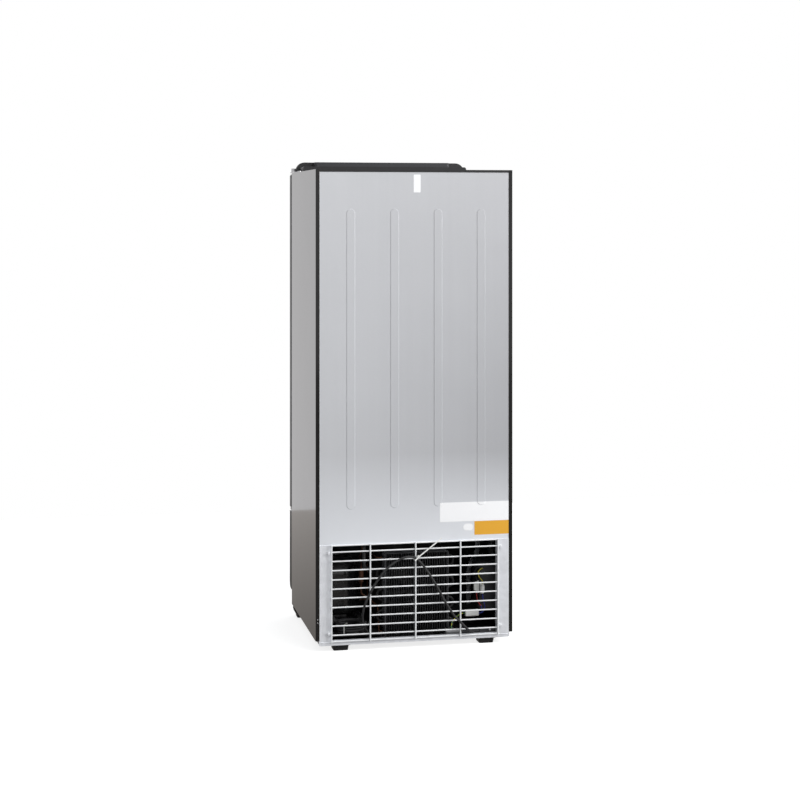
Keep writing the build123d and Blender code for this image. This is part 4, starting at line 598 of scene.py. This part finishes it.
lead_piece()
label("long_label", x=-0.1805, z=SIDE_BOTTOM + 0.3635, size=(0.211, 0.057), look="label_white", curl=0.001)
label("amber_label", x=-0.235, z=SIDE_BOTTOM + 0.3140, size=(0.109, 0.0405), look="label_amber", curl=0.001)
label("oval_label", x=-0.1615, z=SIDE_BOTTOM + 0.3175, size=(0.030, 0.020), look="label_white", corner=0.0098)
label("small_label", x=-0.006, z=SIDE_BOTTOM + 1.339, size=(0.021, 0.053), look="label_white", curl=0.0006)

# Wires and ties that the photograph shows in other colours than the rest of their bundle.

RED_WIRE_FRONT = REAR - 0.058
LOW_TIES_TOP = 0.12


def recolour(node_name, look, belongs):
    """Gives the separate bodies of a node whose middle passes a test another look."""
    mesh = frame["nodes"][node_name].data
    bm = bmesh.new()
    bm.from_mesh(mesh)
    bm.faces.ensure_lookup_table()
    mesh.materials.append(LOOKS[look].material)
    slot = len(mesh.materials) - 1
    left = set(bm.faces)
    while left:
        island = [left.pop()]
        for face in island:
            for edge in face.edges:
                for other in edge.link_faces:
                    if other in left:
                        left.remove(other)
                        island.append(other)
        points = [vert.co for face in island for vert in face.verts]
        middle = sum(points, Vector()) / len(points)
        if belongs(middle):
            for face in island:
                mesh.polygons[face.index].material_index = slot
    bm.free()


recolour("control_wires", "red_wire", lambda middle: middle.y < RED_WIRE_FRONT)
recolour("cable_ties", "clear_nylon", lambda middle: middle.z < LOW_TIES_TOP)

# Two thin jumper wires on the push-on connectors.

JUMPER_RADIUS = 0.0012
JUMPER_SIDES = 10
JUMPER_STEPS = 6
YELLOW_ROUTE = [
    (-219, -54.5, 166), (-217.5, -53, 178), (-208, -51, 190), (-205, -52, 203), (-214, -56, 212),
    (-222, -61.8, 213),
]
DARK_ROUTE = [
    (-206, -76, 169), (-204, -74, 183), (-198, -68, 197), (-201, -62, 212), (-212, -58, 221),
    (-222, -61.8, 222.5),
]


def smooth_path(points):
    """Places along a smooth line that passes through all the points."""
    knots = [Vector(p) for p in (points[0], *points, points[-1])]
    path = []
    for before, start, end, after in zip(knots, knots[1:], knots[2:], knots[3:]):
        for i in range(JUMPER_STEPS):
            t = i / JUMPER_STEPS
            path.append(0.5 * (
                2 * start + (end - before) * t + (2 * before - 5 * start + 4 * end - after) * t ** 2
                + (3 * start - before - 3 * end + after) * t ** 3
            ))
    path.append(knots[-1])
    return path


def jumper(name, route, look):
    """A thin wire as a closed tube along its route."""
    path = smooth_path([behind(*place) for place in route])

    def build(bm):
        rings = []
        side = None
        for i, place in enumerate(path):
            along = (path[min(i + 1, len(path) - 1)] - path[max(i - 1, 0)]).normalized()
            side = along.orthogonal() if side is None else side - along * side.dot(along)
            side.normalize()
            across = along.cross(side)
            offsets = [(side * c + across * s) * JUMPER_RADIUS for c, s in circle(JUMPER_SIDES)]
            rings.append([bm.verts.new(place + offset) for offset in offsets])
        for low, high in zip(rings, rings[1:]):
            for k in range(JUMPER_SIDES):
                j = (k + 1) % JUMPER_SIDES
                bm.faces.new((low[k], low[j], high[j], high[k]))
        bm.faces.new(rings[0])
        bm.faces.new(rings[-1])

    mesh_piece(name, build, look)


jumper("yellow_jumper", YELLOW_ROUTE, "yellow_wire")
jumper("dark_jumper", DARK_ROUTE, "lead_black")

# Screws on the side panel's rear return, the lead's clamp and the top hinge bracket.

CLAMP_FACE = 0.2808
BRACKET_THICKNESS = 0.0030
RETURN_SCREWS = [(HALF - 0.0057, REAR, z) for z in (0.0958, 0.087)]
CLAMP_SCREWS = [(x, CLAMP_FACE, 0.0415) for x in (-0.166, -0.229)]
BRACKET_SCREWS = [(0.2774, y, CABINET_TOP + BRACKET_THICKNESS) for y in (-0.165, -0.196)]
BEHIND = (0, 1, 0)
UP = (0, 0, 1)
screw_heads("return_fixings", RETURN_SCREWS, BEHIND, 0.0016)
screw_heads("clamp_fixings", CLAMP_SCREWS, BEHIND, 0.003)
screw_heads("bracket_screws", BRACKET_SCREWS, UP, 0.0045)

# Studio.

FLOOR_EDGE = -2.1
FLOOR_REACH = 9.0
WHITE = (1, 1, 1)
SEEN_RAYS = ("Is Camera Ray", "Is Transmission Ray")


def studio_floor():
    """White floor. Gloss mirrors its edge beyond the door and its browner look towards the camera."""
    mesh = bpy.data.meshes.new("studio_floor")
    bm = bmesh.new()
    beyond_door = [(-FLOOR_REACH, FLOOR_EDGE, 0), (FLOOR_REACH, FLOOR_EDGE, 0)]
    behind_back = [(FLOOR_REACH, FLOOR_REACH, 0), (-FLOOR_REACH, FLOOR_REACH, 0)]
    bm.faces.new([bm.verts.new(corner) for corner in beyond_door + behind_back])
    bm.to_mesh(mesh)
    bm.free()
    floor = bpy.data.objects.new("studio_floor", mesh)
    bpy.context.scene.collection.objects.link(floor)
    material = bpy.data.materials.new("studio_floor")
    material.use_nodes = True
    material.node_tree.nodes.clear()
    nodes = Nodes(material.node_tree)
    diffuse = nodes.add("ShaderNodeBsdfDiffuse", (0.5, 0.5, 0.5)).outputs[0]
    glow = nodes.add("ShaderNodeEmission", WHITE, 0.8).outputs[0]
    seen = nodes.add("ShaderNodeAddShader", diffuse, glow).outputs[0]
    near = nodes.add("ShaderNodeEmission", (1.0, 0.93, 0.87), 0.25).outputs[0]
    far = nodes.add("ShaderNodeEmission", (1.0, 0.94, 0.90), 0.54).outputs[0]
    place = nodes.add("ShaderNodeTexCoord").outputs["Object"]
    depth = Value(nodes, nodes.add("ShaderNodeSeparateXYZ", place).outputs["Y"])
    mirrored = nodes.mixed((depth * (1 / FLOOR_EDGE)).clamp(), near, far)
    surround = nodes.mixed(nodes.rays("Is Glossy Ray"), diffuse, mirrored)
    nodes.add("ShaderNodeOutputMaterial", nodes.mixed(nodes.rays(*SEEN_RAYS), surround, seen))
    mesh.materials.append(material)


def studio_world():
    """Soft light all round, a paler surround in gloss, and plain white where the camera sees it."""
    world = bpy.data.worlds.new("studio")
    bpy.context.scene.world = world
    world.use_nodes = True
    world.node_tree.nodes.clear()
    nodes = Nodes(world.node_tree)
    soft = nodes.add("ShaderNodeBackground", (0.96, 0.98, 1.0), 0.47).outputs[0]
    mirrored = nodes.add("ShaderNodeBackground", (1, 0.99, 1), 0.83).outputs[0]
    seen = nodes.add("ShaderNodeBackground", WHITE, 1.0).outputs[0]
    surround = nodes.mixed(nodes.rays("Is Glossy Ray"), soft, mirrored)
    nodes.add("ShaderNodeOutputWorld", nodes.mixed(nodes.rays(*SEEN_RAYS), surround, seen))


def soft_box(name, place, target, size, power):
    """A rectangular lamp that faces a target."""
    light = bpy.data.lights.new(name, "AREA")
    light.shape = "RECTANGLE"
    light.size, light.size_y = size
    light.energy = power
    lamp = bpy.data.objects.new(name, light)
    lamp.location = place
    lamp.rotation_euler = (Vector(target) - Vector(place)).to_track_quat("-Z", "Y").to_euler()
    bpy.context.scene.collection.objects.link(lamp)


EYE = (1.0706, 5.22965, 1.2854)
EYE_TURN = 180 - 11.71
LENS = 77.0
LENS_SHIFT = -0.234


def camera():
    """A level camera behind the fridge. Its shifted lens keeps upright edges parallel."""
    data = bpy.data.cameras.new("camera")
    data.sensor_width = 36.0
    data.lens = LENS
    data.shift_y = LENS_SHIFT
    eye = bpy.data.objects.new("camera", data)
    eye.location = EYE
    eye.rotation_euler = (math.pi / 2, 0, math.radians(EYE_TURN))
    bpy.context.scene.collection.objects.link(eye)
    bpy.context.scene.camera = eye


studio_floor()
studio_world()
soft_box("key", place=(-3.4, 2.2, 2.0), target=(0, 0.28, 0.75), size=(1.6, 2.2), power=112)
soft_box("fill", place=(-1.4, 3.4, 4.4), target=(0, 0.25, 0.9), size=(2.5, 2.0), power=85)
soft_box("front", place=(-1.6, -3.6, 2.4), target=(0, 0, 0.8), size=(3.0, 2.0), power=60)
camera()
bpy.context.scene.view_settings.view_transform = "Standard"
